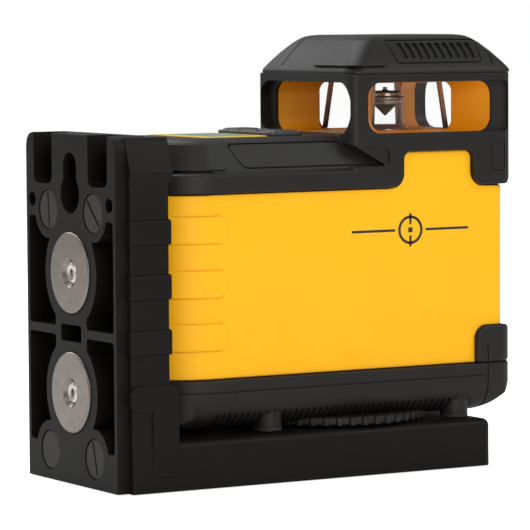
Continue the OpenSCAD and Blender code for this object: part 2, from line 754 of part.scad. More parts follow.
module gimbal_bridge() color([0.55, 0.56, 0.58]) difference() {
    union() {
        box([prism_x - 27, 0.2 - 25, 100], [prism_x + 27, 25 - 0.2, 102]);
        for (s = [-1, 1]) {
            box([prism_x + min(s * 18.6, s * 22.6), -4, 91], [prism_x + max(s * 18.6, s * 22.6), 4, 100.5]);
            for (t = [-1, 1]) translate([prism_x + s * 21, t * 20, 101]) cylinder(h = 5.4, r = 2.6);
        }
    }
    translate([prism_x, 0, 90]) cylinder(h = 20, r = 18);
    rod_x(prism_x - 30, prism_x + 30, 0, gimbal_z, pin_r + 0.02);
}

module roll_pins() color([0.8, 0.8, 0.82])
    for (s = [-1, 1]) rod_x(prism_x + min(s * 14.2, s * 22.4), prism_x + max(s * 14.2, s * 22.4), 0, gimbal_z, pin_r);

module gimbal_ring() color([0.78, 0.66, 0.36]) difference() {
    translate([prism_x, 0, gimbal_z - 2.5]) cylinder(h = 5, r = 17.4);
    translate([prism_x, 0, gimbal_z - 5]) cylinder(h = 10, r = 14);
    rod_x(prism_x - 30, prism_x + 30, 0, gimbal_z, pin_r + run);
    rod_y(prism_x, -30, 30, gimbal_z, pin_r + 0.02);
}

module pitch_pins() color([0.8, 0.8, 0.82])
    for (s = [-1, 1]) rod_y(prism_x, min(s * 7.6, s * 17), max(s * 7.6, s * 17), gimbal_z, pin_r);

module pendulum_tube() color([0.7, 0.71, 0.73]) difference() {
    translate([prism_x, 0, 0]) rotate_extrude() polygon([
        [6.05, 52], [tube_r, 52], [tube_r, 88.5], [11, 90], [11, 100], [tube_r, 101.5],
        [7, 102], [7, 108], [6.05, 108]
    ]);
    rod_y(prism_x, -30, 30, gimbal_z, pin_r + run);
}

module laser_module() color([0.8, 0.66, 0.35]) difference() {
    translate([prism_x, 0, 56]) cylinder(h = 37, r = 6);
    translate([prism_x, 0, 86]) cylinder(h = 8, r = 2.5);
}

module balance_weight() color([0.78, 0.63, 0.33]) difference() {
    translate([prism_x, 0, damper_z + 2]) cylinder(h = 52 - damper_z - 2, r = 12);
    rod_x(prism_x + 6, prism_x + 13, 0, 48.5, 1.25);
    rod_y(prism_x, 6, 13, 48.5, 1.25);
}

module trim_screws() color([0.3, 0.3, 0.3]) {
    rod_x(prism_x + 6.2, prism_x + 12.6, 0, 48.5, 1.23);
    rod_y(prism_x, 6.2, 12.6, 48.5, 1.23);
}

module damping_plate() color([0.72, 0.42, 0.25])
    translate([prism_x, 0, damper_z]) cylinder(h = 2, r = 11.5);

module prism_base() color([0.62, 0.6, 0.56]) difference() {
    translate([prism_x, 0, 0]) rotate_extrude() polygon([
        [3, 108], [7.8, 108], [7.8, 108.8], [7, 109.6], [6.2, 110], [3, 110]
    ]);
}

module prism_glass_tube() color([0.85, 0.9, 0.92, 0.4])
    translate([prism_x, 0, 110]) difference() {
        cylinder(h = 8, r = 5.8);
        translate([0, 0, -1]) cylinder(h = 10, r = 5);
    }

module prism_collar() color([0.6, 0.56, 0.5])
    translate([prism_x, 0, 0]) rotate_extrude() polygon([
        [0, 118], [6.25, 118], [6.25, 119], [5.4, 119.3], [5.4, 120.4], [4.8, 121],
        [0.7, 121], [0.7, 122.2], [0, 122.2]
    ]);

module cone_prism() color([0.7, 0.66, 0.6])
    translate([prism_x, 0, 0]) rotate_extrude() polygon([[0, 112.8], [4.2, 117], [4.2, 118], [0, 118]]);

// ---------- drawing ----------

bracket_frame();
bracket_foot();
foot_cover();
cover_screws();
ring_magnets();
magnet_screws();
slotted_plugs();
foot_pads();
thread_insert_large();
thread_insert_small();
pivot_bush();
friction_washer();
base_tray();
post_tips();
turn_ring();
pivot_stud();
pivot_nut();
tray_gasket();
front_shell();
rear_shell();
end_guard();
housing_screws();
top_gasket();
top_cover();
tower_frame();
tower_cap();
lantern_frame();
window_panes();
label_plate();
keypad_bezel();
key_lines();
key_power();
key_pulse();
key_board();
circuit_board();
lock_slider();
lock_plunger();
damper_seat();
damper_magnets();
battery_tray();
battery_cells();
contact_plates();
contact_springs();
battery_door();
door_hinge_pin();
door_lock();
gimbal_bridge();
roll_pins();
gimbal_ring();
pitch_pins();
pendulum_tube();
laser_module();
balance_weight();
trim_screws();
damping_plate();
prism_base();
prism_glass_tube();
prism_collar();
cone_prism();
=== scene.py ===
import json
import math

import bmesh
import bpy
from mathutils import Matrix, Vector
from mathutils.bvhtree import BVHTree
from mathutils.kdtree import KDTree


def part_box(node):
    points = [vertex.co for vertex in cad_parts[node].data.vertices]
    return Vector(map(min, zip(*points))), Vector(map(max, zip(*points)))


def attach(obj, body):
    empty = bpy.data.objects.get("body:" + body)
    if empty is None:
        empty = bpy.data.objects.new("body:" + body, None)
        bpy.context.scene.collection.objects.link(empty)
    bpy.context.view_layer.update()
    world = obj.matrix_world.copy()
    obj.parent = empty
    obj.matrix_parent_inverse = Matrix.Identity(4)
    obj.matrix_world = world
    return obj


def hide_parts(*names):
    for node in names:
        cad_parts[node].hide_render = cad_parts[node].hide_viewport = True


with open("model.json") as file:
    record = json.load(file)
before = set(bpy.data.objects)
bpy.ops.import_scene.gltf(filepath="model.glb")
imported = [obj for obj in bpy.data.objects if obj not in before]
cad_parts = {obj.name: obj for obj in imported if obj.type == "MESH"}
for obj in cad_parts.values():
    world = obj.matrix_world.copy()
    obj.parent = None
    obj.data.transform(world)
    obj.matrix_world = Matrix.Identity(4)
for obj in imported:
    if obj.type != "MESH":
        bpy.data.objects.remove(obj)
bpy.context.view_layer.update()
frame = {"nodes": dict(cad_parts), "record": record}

MM = 0.001

# driving sizes in mm; X runs from the magnet plate to the front end, Y from front to back
SIDES = (-1, 1)                                   # front and back of the middle plane
SHELL_ENDS, SHELL_HALF = (-75.5, 52.5), 27.5      # yellow shells: ends in X, half width
COVER_ENDS, COVER_HALF = (-76, 55), 29.5          # black tray and cover
TOWER_START = -7
TRAY_TOP = 33.1
DECK = 107.8
PRISM_X = 24
WINDOW = (107.9, 124.6)
CAP_LOW, CAP_TOP = 127, 139.3
MAGNET_Z = (29, 66.4)
PLUG_Y, PLUG_Z = 15, (9.6, 85.5)
HINGE = (27.9, 38)                                # Y and Z of the battery door's pin
KEYS = {"lines": -11.5, "power": 0, "pulse": 11.5}
# inset and rise of the foot's rolled edge, of the deck's lip, slope and shoulder, and of the cap
FOOT_STEPS = [(0.12, 0.8), (0.3, 0.65), (0.5, 0.5), (0.6, 0.33), (0.7, 0.17), (0.7, 0.05)]
DECK_STEPS = [(0.25, 0.45), (0.5, 0.45), (0.7, 0.3), (0.5, 0.1),
              (3.65, 8.1), (2.0, 1.3), (1.9, 0.7), (0.8, 0.2)]
CAP_STEPS = [(0.5, 0.9), (1.3, 1.8), (2.6, 3.2), (2.8, 2.9), (1.6, 1.3), (1.2, 0.7), (1.4, 0.4), (1.8, 0.2)]


# ------------------------ camera

def place_camera():
    """Long lens, looking down a little on the front and the magnet plate."""
    turn, dip, roll = (math.radians(angle) for angle in (30.36, 4.14, 0.365))
    stand = Vector((-588.9, -968.2, 147.1)) * MM
    forward = Vector((math.sin(turn) * math.cos(dip), math.cos(turn) * math.cos(dip), -math.sin(dip)))
    level = Vector((math.cos(turn), -math.sin(turn), 0))
    down = forward.cross(level)
    right = math.cos(roll) * level + math.sin(roll) * down
    up = math.sin(roll) * level - math.cos(roll) * down
    data = bpy.data.cameras.new("camera")
    data.lens = 238.2
    data.sensor_width = 36
    camera = bpy.data.objects.new("camera", data)
    bpy.context.scene.collection.objects.link(camera)
    camera.matrix_world = Matrix.Translation(stand) @ Matrix((right, up, -forward)).transposed().to_4x4()
    bpy.context.scene.camera = camera


# ------------------------ modelling helpers, sizes in mm

def take(obj):
    """Selects one object alone and makes it active."""
    bpy.ops.object.select_all(action="DESELECT")
    obj.select_set(True)
    bpy.context.view_layer.objects.active = obj
    return obj


def apply_place(obj):
    take(obj)
    bpy.ops.object.transform_apply(location=True, rotation=True, scale=True)
    return obj


def block(lo, hi):
    """Cube primitive between two corners."""
    bpy.ops.object.select_all(action="DESELECT")
    lo, hi = Vector(lo), Vector(hi)
    bpy.ops.mesh.primitive_cube_add(size=1, location=(lo + hi) / 2 * MM)
    obj = bpy.context.object
    obj.scale = (hi - lo) * MM
    return apply_place(obj)


def spot(axis, along, a, b):
    """Point with one coordinate along an axis and the other two in their X, Y, Z order."""
    rest = [a, b]
    return Vector([along if name == axis else rest.pop(0) for name in "XYZ"])


AXIS_TURN = {"X": (0, math.pi / 2, 0), "Y": (-math.pi / 2, 0, 0), "Z": (0, 0, 0)}


def rod(axis, centre, lo, hi, r, r_end=None, sides=64):
    """Cylinder or cone along an axis from lo to hi; centre gives the other two coordinates."""
    bpy.ops.object.select_all(action="DESELECT")
    bpy.ops.mesh.primitive_cone_add(
        vertices=sides, radius1=r * MM, radius2=(r if r_end is None else r_end) * MM,
        depth=(hi - lo) * MM, location=spot(axis, (lo + hi) / 2, *centre) * MM, rotation=AXIS_TURN[axis])
    return apply_place(bpy.context.object)


def select_parts(obj, kind, test):
    """Enters edit mode with only those edges or faces selected that pass the test."""
    take(obj)
    bpy.ops.object.mode_set(mode="EDIT")
    bpy.ops.mesh.select_mode(type=kind)
    bpy.ops.mesh.select_all(action="DESELECT")
    mesh = bmesh.from_edit_mesh(obj.data)
    for part in mesh.edges if kind == "EDGE" else mesh.faces:
        part.select = test(part)
    bmesh.update_edit_mesh(obj.data)


def select_edges(obj, test):
    """The test gets an edge's two ends, in mm."""
    select_parts(obj, "EDGE", lambda edge: test(edge.verts[0].co / MM, edge.verts[1].co / MM))


def select_faces(obj, test):
    """The test gets a face's centre, in mm, and its normal."""
    select_parts(obj, "FACE", lambda face: test(face.calc_center_median() / MM, face.normal))


def select_whole(obj):
    """Enters edit mode with everything selected."""
    take(obj)
    bpy.ops.object.mode_set(mode="EDIT")
    bpy.ops.mesh.select_all(action="SELECT")


def leave_edit():
    bpy.ops.object.mode_set(mode="OBJECT")


def fillet(obj, axis, radius, where=lambda middle: True, segments=8):
    """Rounds the edges that run along an axis and whose middle passes the test."""
    k = "XYZ".index(axis)

    def along(a, b):
        return abs(b[k] - a[k]) > 0.999 * (b - a).length and where((a + b) / 2)

    select_edges(obj, along)
    bpy.ops.mesh.bevel(offset=radius * MM, segments=segments, affect="EDGES")
    leave_edit()
    return obj


def apply_modifier(obj, kind, **values):
    take(obj)
    modifier = obj.modifiers.new(kind.lower(), kind)
    for key, value in values.items():
        setattr(modifier, key, value)
    bpy.ops.object.modifier_apply(modifier=modifier.name)
    return obj


def combine(obj, tool, how):
    apply_modifier(obj, "BOOLEAN", operation=how, solver="MANIFOLD", object=tool)
    bpy.data.objects.remove(tool)
    return obj


def cut(obj, *tools):
    for tool in tools:
        combine(obj, tool, "DIFFERENCE")
    return obj


def add(obj, *tools):
    for tool in tools:
        combine(obj, tool, "UNION")
    return obj


def common(obj, *tools):
    for tool in tools:
        combine(obj, tool, "INTERSECT")
    return obj


def twin(obj):
    """Copy with its own mesh."""
    other = obj.copy()
    other.data = obj.data.copy()
    bpy.context.scene.collection.objects.link(other)
    return other


def joined(objs):
    """Makes one object of several, without melting them together."""
    take(objs[0])
    for obj in objs:
        obj.select_set(True)
    bpy.ops.object.join()
    return objs[0]


def span(side, near, far):
    """Y range between two distances from the middle plane, on one side."""
    return (min(side * near, side * far), max(side * near, side * far))


def side_block(side, ends, reach, heights):
    """Block on one side: its ends in X, its two distances from the middle plane, its heights."""
    near, far = span(side, *reach)
    return block((ends[0], near, heights[0]), (ends[1], far, heights[1]))


def soften(obj, width, segments=3, angle=34):
    """Small rounding on the edges that are left; an edge whose rounding would fold over stays sharp."""
    select_whole(obj)
    bpy.ops.mesh.remove_doubles(threshold=0.02 * MM)
    bpy.ops.mesh.dissolve_limited(angle_limit=math.radians(0.6))
    leave_edit()
    start = obj.data.copy()
    before = bmesh.new()
    before.from_mesh(start)
    before.verts.ensure_lookup_table()
    surface = BVHTree.FromBMesh(before)
    corners = KDTree(len(before.verts))
    for vertex in before.verts:
        corners.insert(vertex.co, vertex.index)
    corners.balance()
    sharp = {e.index for e in before.edges if e.is_manifold and e.calc_face_angle(0) > math.radians(angle)}
    for attempt in range(10):
        obj.data = start.copy()
        weights = obj.data.attributes.new("bevel_weight_edge", "FLOAT", "EDGE")
        for index in sharp:
            weights.data[index].value = 1
        apply_modifier(obj, "BEVEL", width=width * MM, segments=segments, limit_method="WEIGHT",
                       use_clamp_overlap=False, loop_slide=False)
        folded = folded_places(obj, surface, 0.6 * width * MM)
        if not folded:
            break
        for place in folded:
            for _, index, _ in corners.find_range(place, (1 + attempt) * width * MM):
                sharp -= {e.index for e in before.verts[index].link_edges}
    else:
        obj.data = start
    before.free()
    return smooth(obj)


def folded_places(obj, surface, limit):
    """Places where a rounded mesh left the surface it came from or turned over."""
    after = bmesh.new()
    after.from_mesh(obj.data)
    places = []
    for face in after.faces:
        near = surface.find_nearest(face.calc_center_median())
        turned_over = face.calc_area() > 1e-10 and near[1].dot(face.normal) < 0.1
        if turned_over or any(surface.find_nearest(v.co)[3] > limit for v in face.verts):
            places += [v.co.copy() for v in face.verts]
    after.free()
    return places


def smooth(obj, angle=38):
    take(obj)
    bpy.ops.object.shade_smooth_by_angle(angle=math.radians(angle))
    return obj


def inset_steps(obj, steps, normal=(0, 0, 1)):
    """Shapes the end face by insets, each (inwards, outwards along the normal)."""
    normal = Vector(normal)
    top = max(v.co.dot(normal) for v in obj.data.vertices) / MM
    select_faces(obj, lambda c, n: n.dot(normal) > 0.99 and c.dot(normal) > top - 0.01)
    for inwards, rise in steps:
        bpy.ops.mesh.inset(thickness=inwards * MM, depth=rise * MM, use_even_offset=True)
    leave_edit()
    return obj


def draw_outline(points, to_place):
    """Flat face with these corners: a circle primitive whose corners are moved to their places."""
    bpy.ops.object.select_all(action="DESELECT")
    bpy.ops.mesh.primitive_circle_add(vertices=len(points), radius=MM, fill_type="NGON")
    obj = bpy.context.object
    for vertex, point in zip(obj.data.vertices, points):
        vertex.co = to_place(point) * MM
    return obj


def plate_from(points, axis, lo, hi):
    """Outline in the plane across an axis, extruded from lo to hi."""
    obj = draw_outline(points, lambda p: spot(axis, lo, *p))
    select_whole(obj)
    bpy.ops.mesh.extrude_region_move(TRANSFORM_OT_translate={"value": spot(axis, (hi - lo) * MM, 0, 0)})
    bpy.ops.mesh.select_all(action="SELECT")
    bpy.ops.mesh.normals_make_consistent(inside=False)
    leave_edit()
    return obj


def turned(profile, axis, centre, steps=72):
    """Closed outline of (radius, height) spun once round an axis through centre."""
    along = spot(axis, 1, 0, 0)
    side = spot("Z" if axis == "X" else "X", 1, 0, 0)
    centre = Vector(centre)
    obj = draw_outline(profile, lambda p: centre + side * p[0] + along * p[1])
    select_whole(obj)
    bpy.ops.mesh.delete(type="ONLY_FACE")
    bpy.ops.mesh.select_all(action="SELECT")
    bpy.ops.mesh.spin(steps=steps, angle=2 * math.pi, center=centre * MM, axis=along)
    bpy.ops.mesh.select_all(action="SELECT")
    bpy.ops.mesh.remove_doubles(threshold=0.002 * MM)
    bpy.ops.mesh.delete_loose(use_verts=True, use_edges=True, use_faces=False)
    bpy.ops.mesh.select_all(action="SELECT")
    bpy.ops.mesh.normals_make_consistent(inside=False)
    leave_edit()
    return smooth(obj, 30)


def finish_piece(obj, name, body, slot, *nodes, finish=None):
    """Names a piece and gives it its slot's finish, or its own; it rides in place of its CAD nodes."""
    apply_modifier(obj, "WEIGHTED_NORMAL", keep_sharp=True, weight=60)
    obj.name = obj.data.name = name
    obj.data.materials.clear()
    obj.data.materials.append(finish or SLOT_FINISH[slot])
    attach(obj, body)
    if nodes:
        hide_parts(*nodes)
    return obj


def box_mm(node):
    lo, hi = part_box(node)
    return lo / MM, hi / MM


# ------------------------ materials

def new_group(name, inputs, outputs):
    group = bpy.data.node_groups.new(name, "ShaderNodeTree")
    for socket, kind, default in inputs:
        made = group.interface.new_socket(name=socket, in_out="INPUT", socket_type=kind)
        made.default_value = default
    for socket, kind in outputs:
        group.interface.new_socket(name=socket, in_out="OUTPUT", socket_type=kind)
    return group, group.nodes.new("NodeGroupInput"), group.nodes.new("NodeGroupOutput")


def preset(made, **values):
    """Sets a node's inputs by name, with _ for a space."""
    for key, value in values.items():
        made.inputs[key.replace("_", " ")].default_value = value
    return made


def node(tree, kind, **values):
    return preset(tree.nodes.new(kind), **values)


def math_node(tree, operation, a, b=None):
    made = tree.nodes.new("ShaderNodeMath")
    made.operation = operation
    for k, value in enumerate((a, b)):
        if value is None:
            continue
        if isinstance(value, (int, float)):
            made.inputs[k].default_value = value
        else:
            tree.links.new(value, made.inputs[k])
    return made.outputs[0]


def rescale(tree, value, low, high, from_low=0, from_high=1):
    """Value mapped from one range to another and held inside it."""
    ramp = node(tree, "ShaderNodeMapRange", From_Min=from_low, From_Max=from_high, To_Min=low, To_Max=high)
    tree.links.new(value, ramp.inputs["Value"])
    return ramp.outputs[0]


def build_grain_group():
    """Fine spark-eroded mould grain: a height, and a slow mask for colour and gloss."""
    group, start, end = new_group("mould_grain", [
        ("Vector", "NodeSocketVector", (0, 0, 0)), ("Scale", "NodeSocketFloat", 1.0)],
        [("Height", "NodeSocketFloat"), ("Patches", "NodeSocketFloat"), ("Specks", "NodeSocketFloat")])
    fine = node(group, "ShaderNodeTexVoronoi")
    coarse = node(group, "ShaderNodeTexNoise", Detail=6.0, Roughness=0.6)
    slow = node(group, "ShaderNodeTexNoise", Scale=38.0, Detail=3.0)
    dust = node(group, "ShaderNodeTexNoise", Scale=900.0, Detail=2.0)
    links = group.links
    for tex, factor in ((fine, 2600.0), (coarse, 1500.0)):
        links.new(start.outputs["Vector"], tex.inputs["Vector"])
        links.new(math_node(group, "MULTIPLY", start.outputs["Scale"], factor), tex.inputs["Scale"])
    links.new(start.outputs["Vector"], slow.inputs["Vector"])
    links.new(start.outputs["Vector"], dust.inputs["Vector"])
    height = math_node(group, "ADD", math_node(group, "MULTIPLY", fine.outputs["Distance"], 0.55),
                       math_node(group, "MULTIPLY", coarse.outputs["Fac"], 0.8))
    links.new(height, end.inputs["Height"])
    links.new(slow.outputs["Fac"], end.inputs["Patches"])
    links.new(rescale(group, dust.outputs["Fac"], 0, 1, 0.66, 0.74), end.inputs["Specks"])
    return group


def build_scuff_group():
    """Fine handling scratches in two directions, as a mask."""
    group, start, end = new_group("handling_scuffs", [
        ("Vector", "NodeSocketVector", (0, 0, 0)), ("Amount", "NodeSocketFloat", 0.5)],
        [("Mask", "NodeSocketFloat")])
    total = None
    for k, stretch in enumerate(((40, 900, 1400), (1100, 60, 700))):
        mapping = node(group, "ShaderNodeMapping", Scale=stretch, Rotation=(0.3 + k, 0.5 - k, 0.7 * k))
        noise = node(group, "ShaderNodeTexNoise", Scale=1.0, Detail=3.0, Roughness=0.7)
        group.links.new(start.outputs["Vector"], mapping.inputs["Vector"])
        group.links.new(mapping.outputs[0], noise.inputs["Vector"])
        lines = rescale(group, noise.outputs["Fac"], 0, 1, 0.62, 0.8)
        total = lines if total is None else math_node(group, "MAXIMUM", total, lines)
    group.links.new(math_node(group, "MULTIPLY", total, start.outputs["Amount"]), end.inputs["Mask"])
    return group


def build_turning_group():
    """Rings left by a lathe tool round the mapped origin."""
    group, start, end = new_group("turning_marks", [
        ("Vector", "NodeSocketVector", (0, 0, 0)), ("Pitch", "NodeSocketFloat", 0.2)],
        [("Height", "NodeSocketFloat"), ("Streak", "NodeSocketFloat")])
    length = group.nodes.new("ShaderNodeVectorMath")
    length.operation = "LENGTH"
    group.links.new(start.outputs["Vector"], length.inputs[0])
    radius = length.outputs["Value"]
    scaled = math_node(group, "DIVIDE", math_node(group, "MULTIPLY", radius, 1000.0), start.outputs["Pitch"])
    noise = node(group, "ShaderNodeTexNoise", Scale=1.0, Detail=4.0)
    noise.noise_dimensions = "1D"
    group.links.new(scaled, noise.inputs["W"])
    group.links.new(noise.outputs["Fac"], end.inputs["Height"])
    streak = node(group, "ShaderNodeTexNoise", Scale=300.0, Detail=3.0)
    group.links.new(start.outputs["Vector"], streak.inputs["Vector"])
    group.links.new(streak.outputs["Fac"], end.inputs["Streak"])
    return group


GRAIN = build_grain_group()
SCUFFS = build_scuff_group()
TURNING = build_turning_group()


def feed(tree, shader, **sources):
    """Links an output to each named input, with _ for a space."""
    for key, source in sources.items():
        tree.links.new(source, shader.inputs[key.replace("_", " ")])


def new_material(name):
    material = bpy.data.materials.new(name)
    material.use_nodes = True
    tree = material.node_tree
    shader = tree.nodes["Principled BSDF"]
    place = tree.nodes.new("ShaderNodeTexCoord")
    return material, tree, shader, place.outputs["Object"]


def use_group(tree, group, vector, **values):
    """Places a shared group on a vector and returns its outputs."""
    made = tree.nodes.new("ShaderNodeGroup")
    made.node_tree = group
    tree.links.new(vector, made.inputs["Vector"])
    return preset(made, **values).outputs


def mix_colours(tree, mask, a, b):
    mix = tree.nodes.new("ShaderNodeMix")
    mix.data_type = "RGBA"
    tree.links.new(mask, mix.inputs["Factor"])
    for socket, value in ((mix.inputs["A"], a), (mix.inputs["B"], b)):
        if isinstance(value, tuple):
            socket.default_value = (*value, 1)
        else:
            tree.links.new(value, socket)
    return mix.outputs["Result"]


def add_bump(tree, shader, height, strength, depth, edge=0.35):
    """Surface relief on top of edges that catch the light as if rounded."""
    rounded = node(tree, "ShaderNodeBevel", Radius=edge * MM)
    rounded.samples = 6
    bump = node(tree, "ShaderNodeBump", Strength=strength, Distance=depth * MM)
    tree.links.new(height, bump.inputs["Height"])
    tree.links.new(rounded.outputs["Normal"], bump.inputs["Normal"])
    tree.links.new(bump.outputs["Normal"], shader.inputs["Normal"])


def moulded(name, colour, lighter, rough, grain=1.0, bump=0.25, scuffs=0.3, specular=0.5):
    """Moulded plastic or rubber: grain, slow colour drift, fine scuffs in the gloss."""
    material, tree, shader, place = new_material(name)
    grains = use_group(tree, GRAIN, place, Scale=grain)
    scratches = use_group(tree, SCUFFS, place, Amount=scuffs)
    base = mix_colours(tree, rescale(tree, grains["Patches"], 0.0, 1.0), colour, lighter)
    base = mix_colours(tree, scratches["Mask"], base, tuple(min(1, c * 1.5 + 0.02) for c in lighter))
    gloss = rescale(tree, grains["Patches"], rough - 0.05, rough + 0.05)
    gloss = math_node(tree, "ADD", gloss, math_node(tree, "MULTIPLY", scratches["Mask"], -0.12))
    feed(tree, shader, Base_Color=base, Roughness=gloss)
    preset(shader, Specular_IOR_Level=specular)
    add_bump(tree, shader, grains["Height"], bump, 0.03)
    return material


def metal(name, colour, darker, rough, centre=(0, 0, 0), across=(1, 1, 1), pitch=0.25, bump=0.2):
    """Turned metal: rings round the given centre, streaks in colour and gloss."""
    material, tree, shader, place = new_material(name)
    shift = [-c * MM * s for c, s in zip(centre, across)]
    mapping = node(tree, "ShaderNodeMapping", Scale=across, Location=shift)
    tree.links.new(place, mapping.inputs["Vector"])
    marks = use_group(tree, TURNING, mapping.outputs[0], Pitch=pitch)
    scratches = use_group(tree, SCUFFS, place, Amount=0.6)
    base = mix_colours(tree, marks["Streak"], darker, colour)
    base = mix_colours(tree, scratches["Mask"], base, tuple(min(1, c * 1.2) for c in colour))
    gloss = rescale(tree, marks["Height"], rough - 0.08, rough + 0.1)
    feed(tree, shader, Base_Color=base, Roughness=gloss)
    preset(shader, Metallic=1)
    add_bump(tree, shader, marks["Height"], bump, 0.02)
    return material


def see_through(name, tint, alpha, edge, rough=0.04):
    """Thin clear pane: almost nothing face on, brighter towards its edges."""
    material, tree, shader, place = new_material(name)
    grains = use_group(tree, GRAIN, place, Scale=0.1)
    facing = node(tree, "ShaderNodeLayerWeight", Blend=0.3)
    opacity = rescale(tree, math_node(tree, "POWER", facing.outputs["Facing"], 4.0), alpha, edge)
    feed(tree, shader, Alpha=opacity,
         Roughness=rescale(tree, grains["Patches"], rough, rough + 0.04),
         Base_Color=mix_colours(tree, grains["Specks"], tint, (0.8, 0.8, 0.8)))
    return material


def painted_reflection_band(name, low, high, rough):
    """Painted reflection: colour that changes along Z, a dark edge low down that turns warm brown higher up,
    as if it mirrored what is round it.
    """
    material, tree, shader, place = new_material(name)
    split = tree.nodes.new("ShaderNodeSeparateXYZ")
    tree.links.new(place, split.inputs[0])
    climb = rescale(tree, split.outputs["Z"], 0, 1, 109 * MM, 124 * MM)
    noise = node(tree, "ShaderNodeTexNoise", Scale=260.0, Detail=3.0)
    tree.links.new(place, noise.inputs["Vector"])
    blend = math_node(tree, "ADD", climb, math_node(tree, "SUBTRACT", noise.outputs["Fac"], 0.5))
    feed(tree, shader, Base_Color=mix_colours(tree, blend, low, high),
         Roughness=rescale(tree, noise.outputs["Fac"], rough, rough + 0.15))
    return material


def label_material():
    """Yellow border round a blue-green field, each with fine print grain."""
    material, tree, shader, place = new_material("printed_label")
    split = tree.nodes.new("ShaderNodeSeparateXYZ")
    tree.links.new(place, split.inputs[0])

    def inside(axis, centre, half):
        away = math_node(tree, "ABSOLUTE", math_node(tree, "SUBTRACT", split.outputs[axis], centre * MM))
        return math_node(tree, "LESS_THAN", away, half * MM)

    field = math_node(tree, "MULTIPLY", inside("X", -40.6, 8.4), inside("Y", 0, 14.6))
    grains = use_group(tree, GRAIN, place, Scale=0.5)
    yellow = mix_colours(tree, grains["Patches"], (0.75, 0.5, 0.015), (0.85, 0.6, 0.03))
    teal = mix_colours(tree, grains["Patches"], (0.10, 0.22, 0.17), (0.2, 0.33, 0.25))
    feed(tree, shader, Base_Color=mix_colours(tree, field, yellow, teal),
         Roughness=rescale(tree, grains["Patches"], 0.25, 0.4))
    add_bump(tree, shader, grains["Height"], 0.05, 0.02)
    return material


# the lantern's yellow is the shell yellow darkened and warmed, as painted shade for its place inside the
# tower
LANTERN_YELLOW_PAINTED_SHADE = moulded("yellow_lantern_painted_shade", (0.70, 0.25, 0.005), (0.78, 0.30, 0.008), 0.4,
                         bump=0.1, scuffs=0.03, specular=0.22)
PRINT_BLACK = moulded("print_black", (0.014, 0.013, 0.012), (0.02, 0.018, 0.017), 0.4, grain=1.5, bump=0.08)
TUBE_GLASS = see_through("tube_glass", (0.75, 0.76, 0.76), 0.02, 0.9)
# pane seams: painted reflection, dark at the foot and warm brown towards the top
PANE_EDGE_REFLECTION = painted_reflection_band("pane_edge_painted_reflection", (0.012, 0.010, 0.009), (0.42, 0.24, 0.12), 0.12)
BLACK_KEY = moulded("key_rubber", (0.028, 0.026, 0.026), (0.04, 0.037, 0.037), 0.42, bump=0.2)
BLACK_RUBBER = moulded("pad_rubber", (0.012, 0.012, 0.012), (0.02, 0.02, 0.02), 0.75, grain=0.6, bump=0.5)
BRASS = metal("turned_brass", (0.83, 0.62, 0.3), (0.6, 0.42, 0.18), 0.3)
ROUND_PRISM = {"centre": (PRISM_X, 0, 0), "across": (1, 1, 0)}
DARK_METAL = metal("dark_turned_metal", (0.42, 0.34, 0.28), (0.2, 0.155, 0.125), 0.24,
                   pitch=0.3, **ROUND_PRISM)

# what each material slot of the record is finished with
SLOT_FINISH = {
    "bracket_nylon": moulded("bracket_nylon", (0.0056, 0.0046, 0.0040), (0.0092, 0.0078, 0.0068), 0.46,
                             grain=0.8, bump=0.35, specular=0.13),
    "body_black": moulded("soft_black", (0.0078, 0.0068, 0.0062), (0.0125, 0.0112, 0.0104), 0.46,
                          grain=1.2, bump=0.3, specular=0.27),
    "plug_nylon": moulded("plug_nylon", (0.018, 0.0165, 0.0155), (0.03, 0.028, 0.026), 0.55,
                          grain=0.5, bump=0.6, specular=0.3),
    "shell_yellow": moulded("yellow_shell", (0.95, 0.455, 0.006), (1.0, 0.50, 0.009), 0.4,
                            bump=0.12, scuffs=0.03, specular=0.22),
    "key_rubber": BLACK_KEY,
    "knob_plastic": BLACK_KEY,
    "pad_rubber": BLACK_RUBBER,
    "seal_rubber": BLACK_RUBBER,
    "washer_plastic": moulded("washer_plastic", (0.2, 0.2, 0.2), (0.27, 0.27, 0.27), 0.4),
    "board_green": moulded("coated_board", (0.01, 0.10, 0.03), (0.02, 0.16, 0.05), 0.3, grain=2.0),
    "tray_plastic": moulded("tray_plastic", (0.03, 0.03, 0.03), (0.05, 0.05, 0.05), 0.5),
    "cell_wrap": moulded("cell_wrap", (0.35, 0.2, 0.06), (0.45, 0.27, 0.08), 0.25, grain=0.3, bump=0.05),
    "plunger_plastic": moulded("plunger_plastic", (0.6, 0.57, 0.48), (0.7, 0.67, 0.58), 0.4),
    "insert_brass": BRASS,
    "bush_brass": BRASS,
    "screw_steel": metal("zinc_steel", (0.72, 0.69, 0.65), (0.5, 0.47, 0.44), 0.28),
    "screw_black": metal("blackened_steel", (0.12, 0.12, 0.12), (0.05, 0.05, 0.05), 0.4),
    "magnet_nickel": metal("magnet_plating", (0.66, 0.6, 0.55), (0.42, 0.37, 0.33), 0.3, **ROUND_PRISM),
    "contact_nickel": metal("contact_nickel", (0.75, 0.72, 0.68), (0.55, 0.52, 0.48), 0.25),
    "plate_steel": metal("ground_steel", (0.6, 0.6, 0.58), (0.42, 0.42, 0.4), 0.33,
                         centre=(-40, 0, 0), across=(1, 0.02, 0)),
    "cast_alloy": metal("cast_alloy", (0.55, 0.55, 0.56), (0.4, 0.4, 0.41), 0.45, bump=0.4),
    "damper_copper": metal("plain_copper", (0.78, 0.42, 0.28), (0.6, 0.28, 0.17), 0.3, **ROUND_PRISM),
    "prism_mount": DARK_METAL,
    "cone_mirror": DARK_METAL,
    "clear_glass": see_through("pane_glass", (0.9, 0.93, 0.94), 0.012, 0.3),
    "label_film": label_material(),
}


# ------------------------ the scene around the object

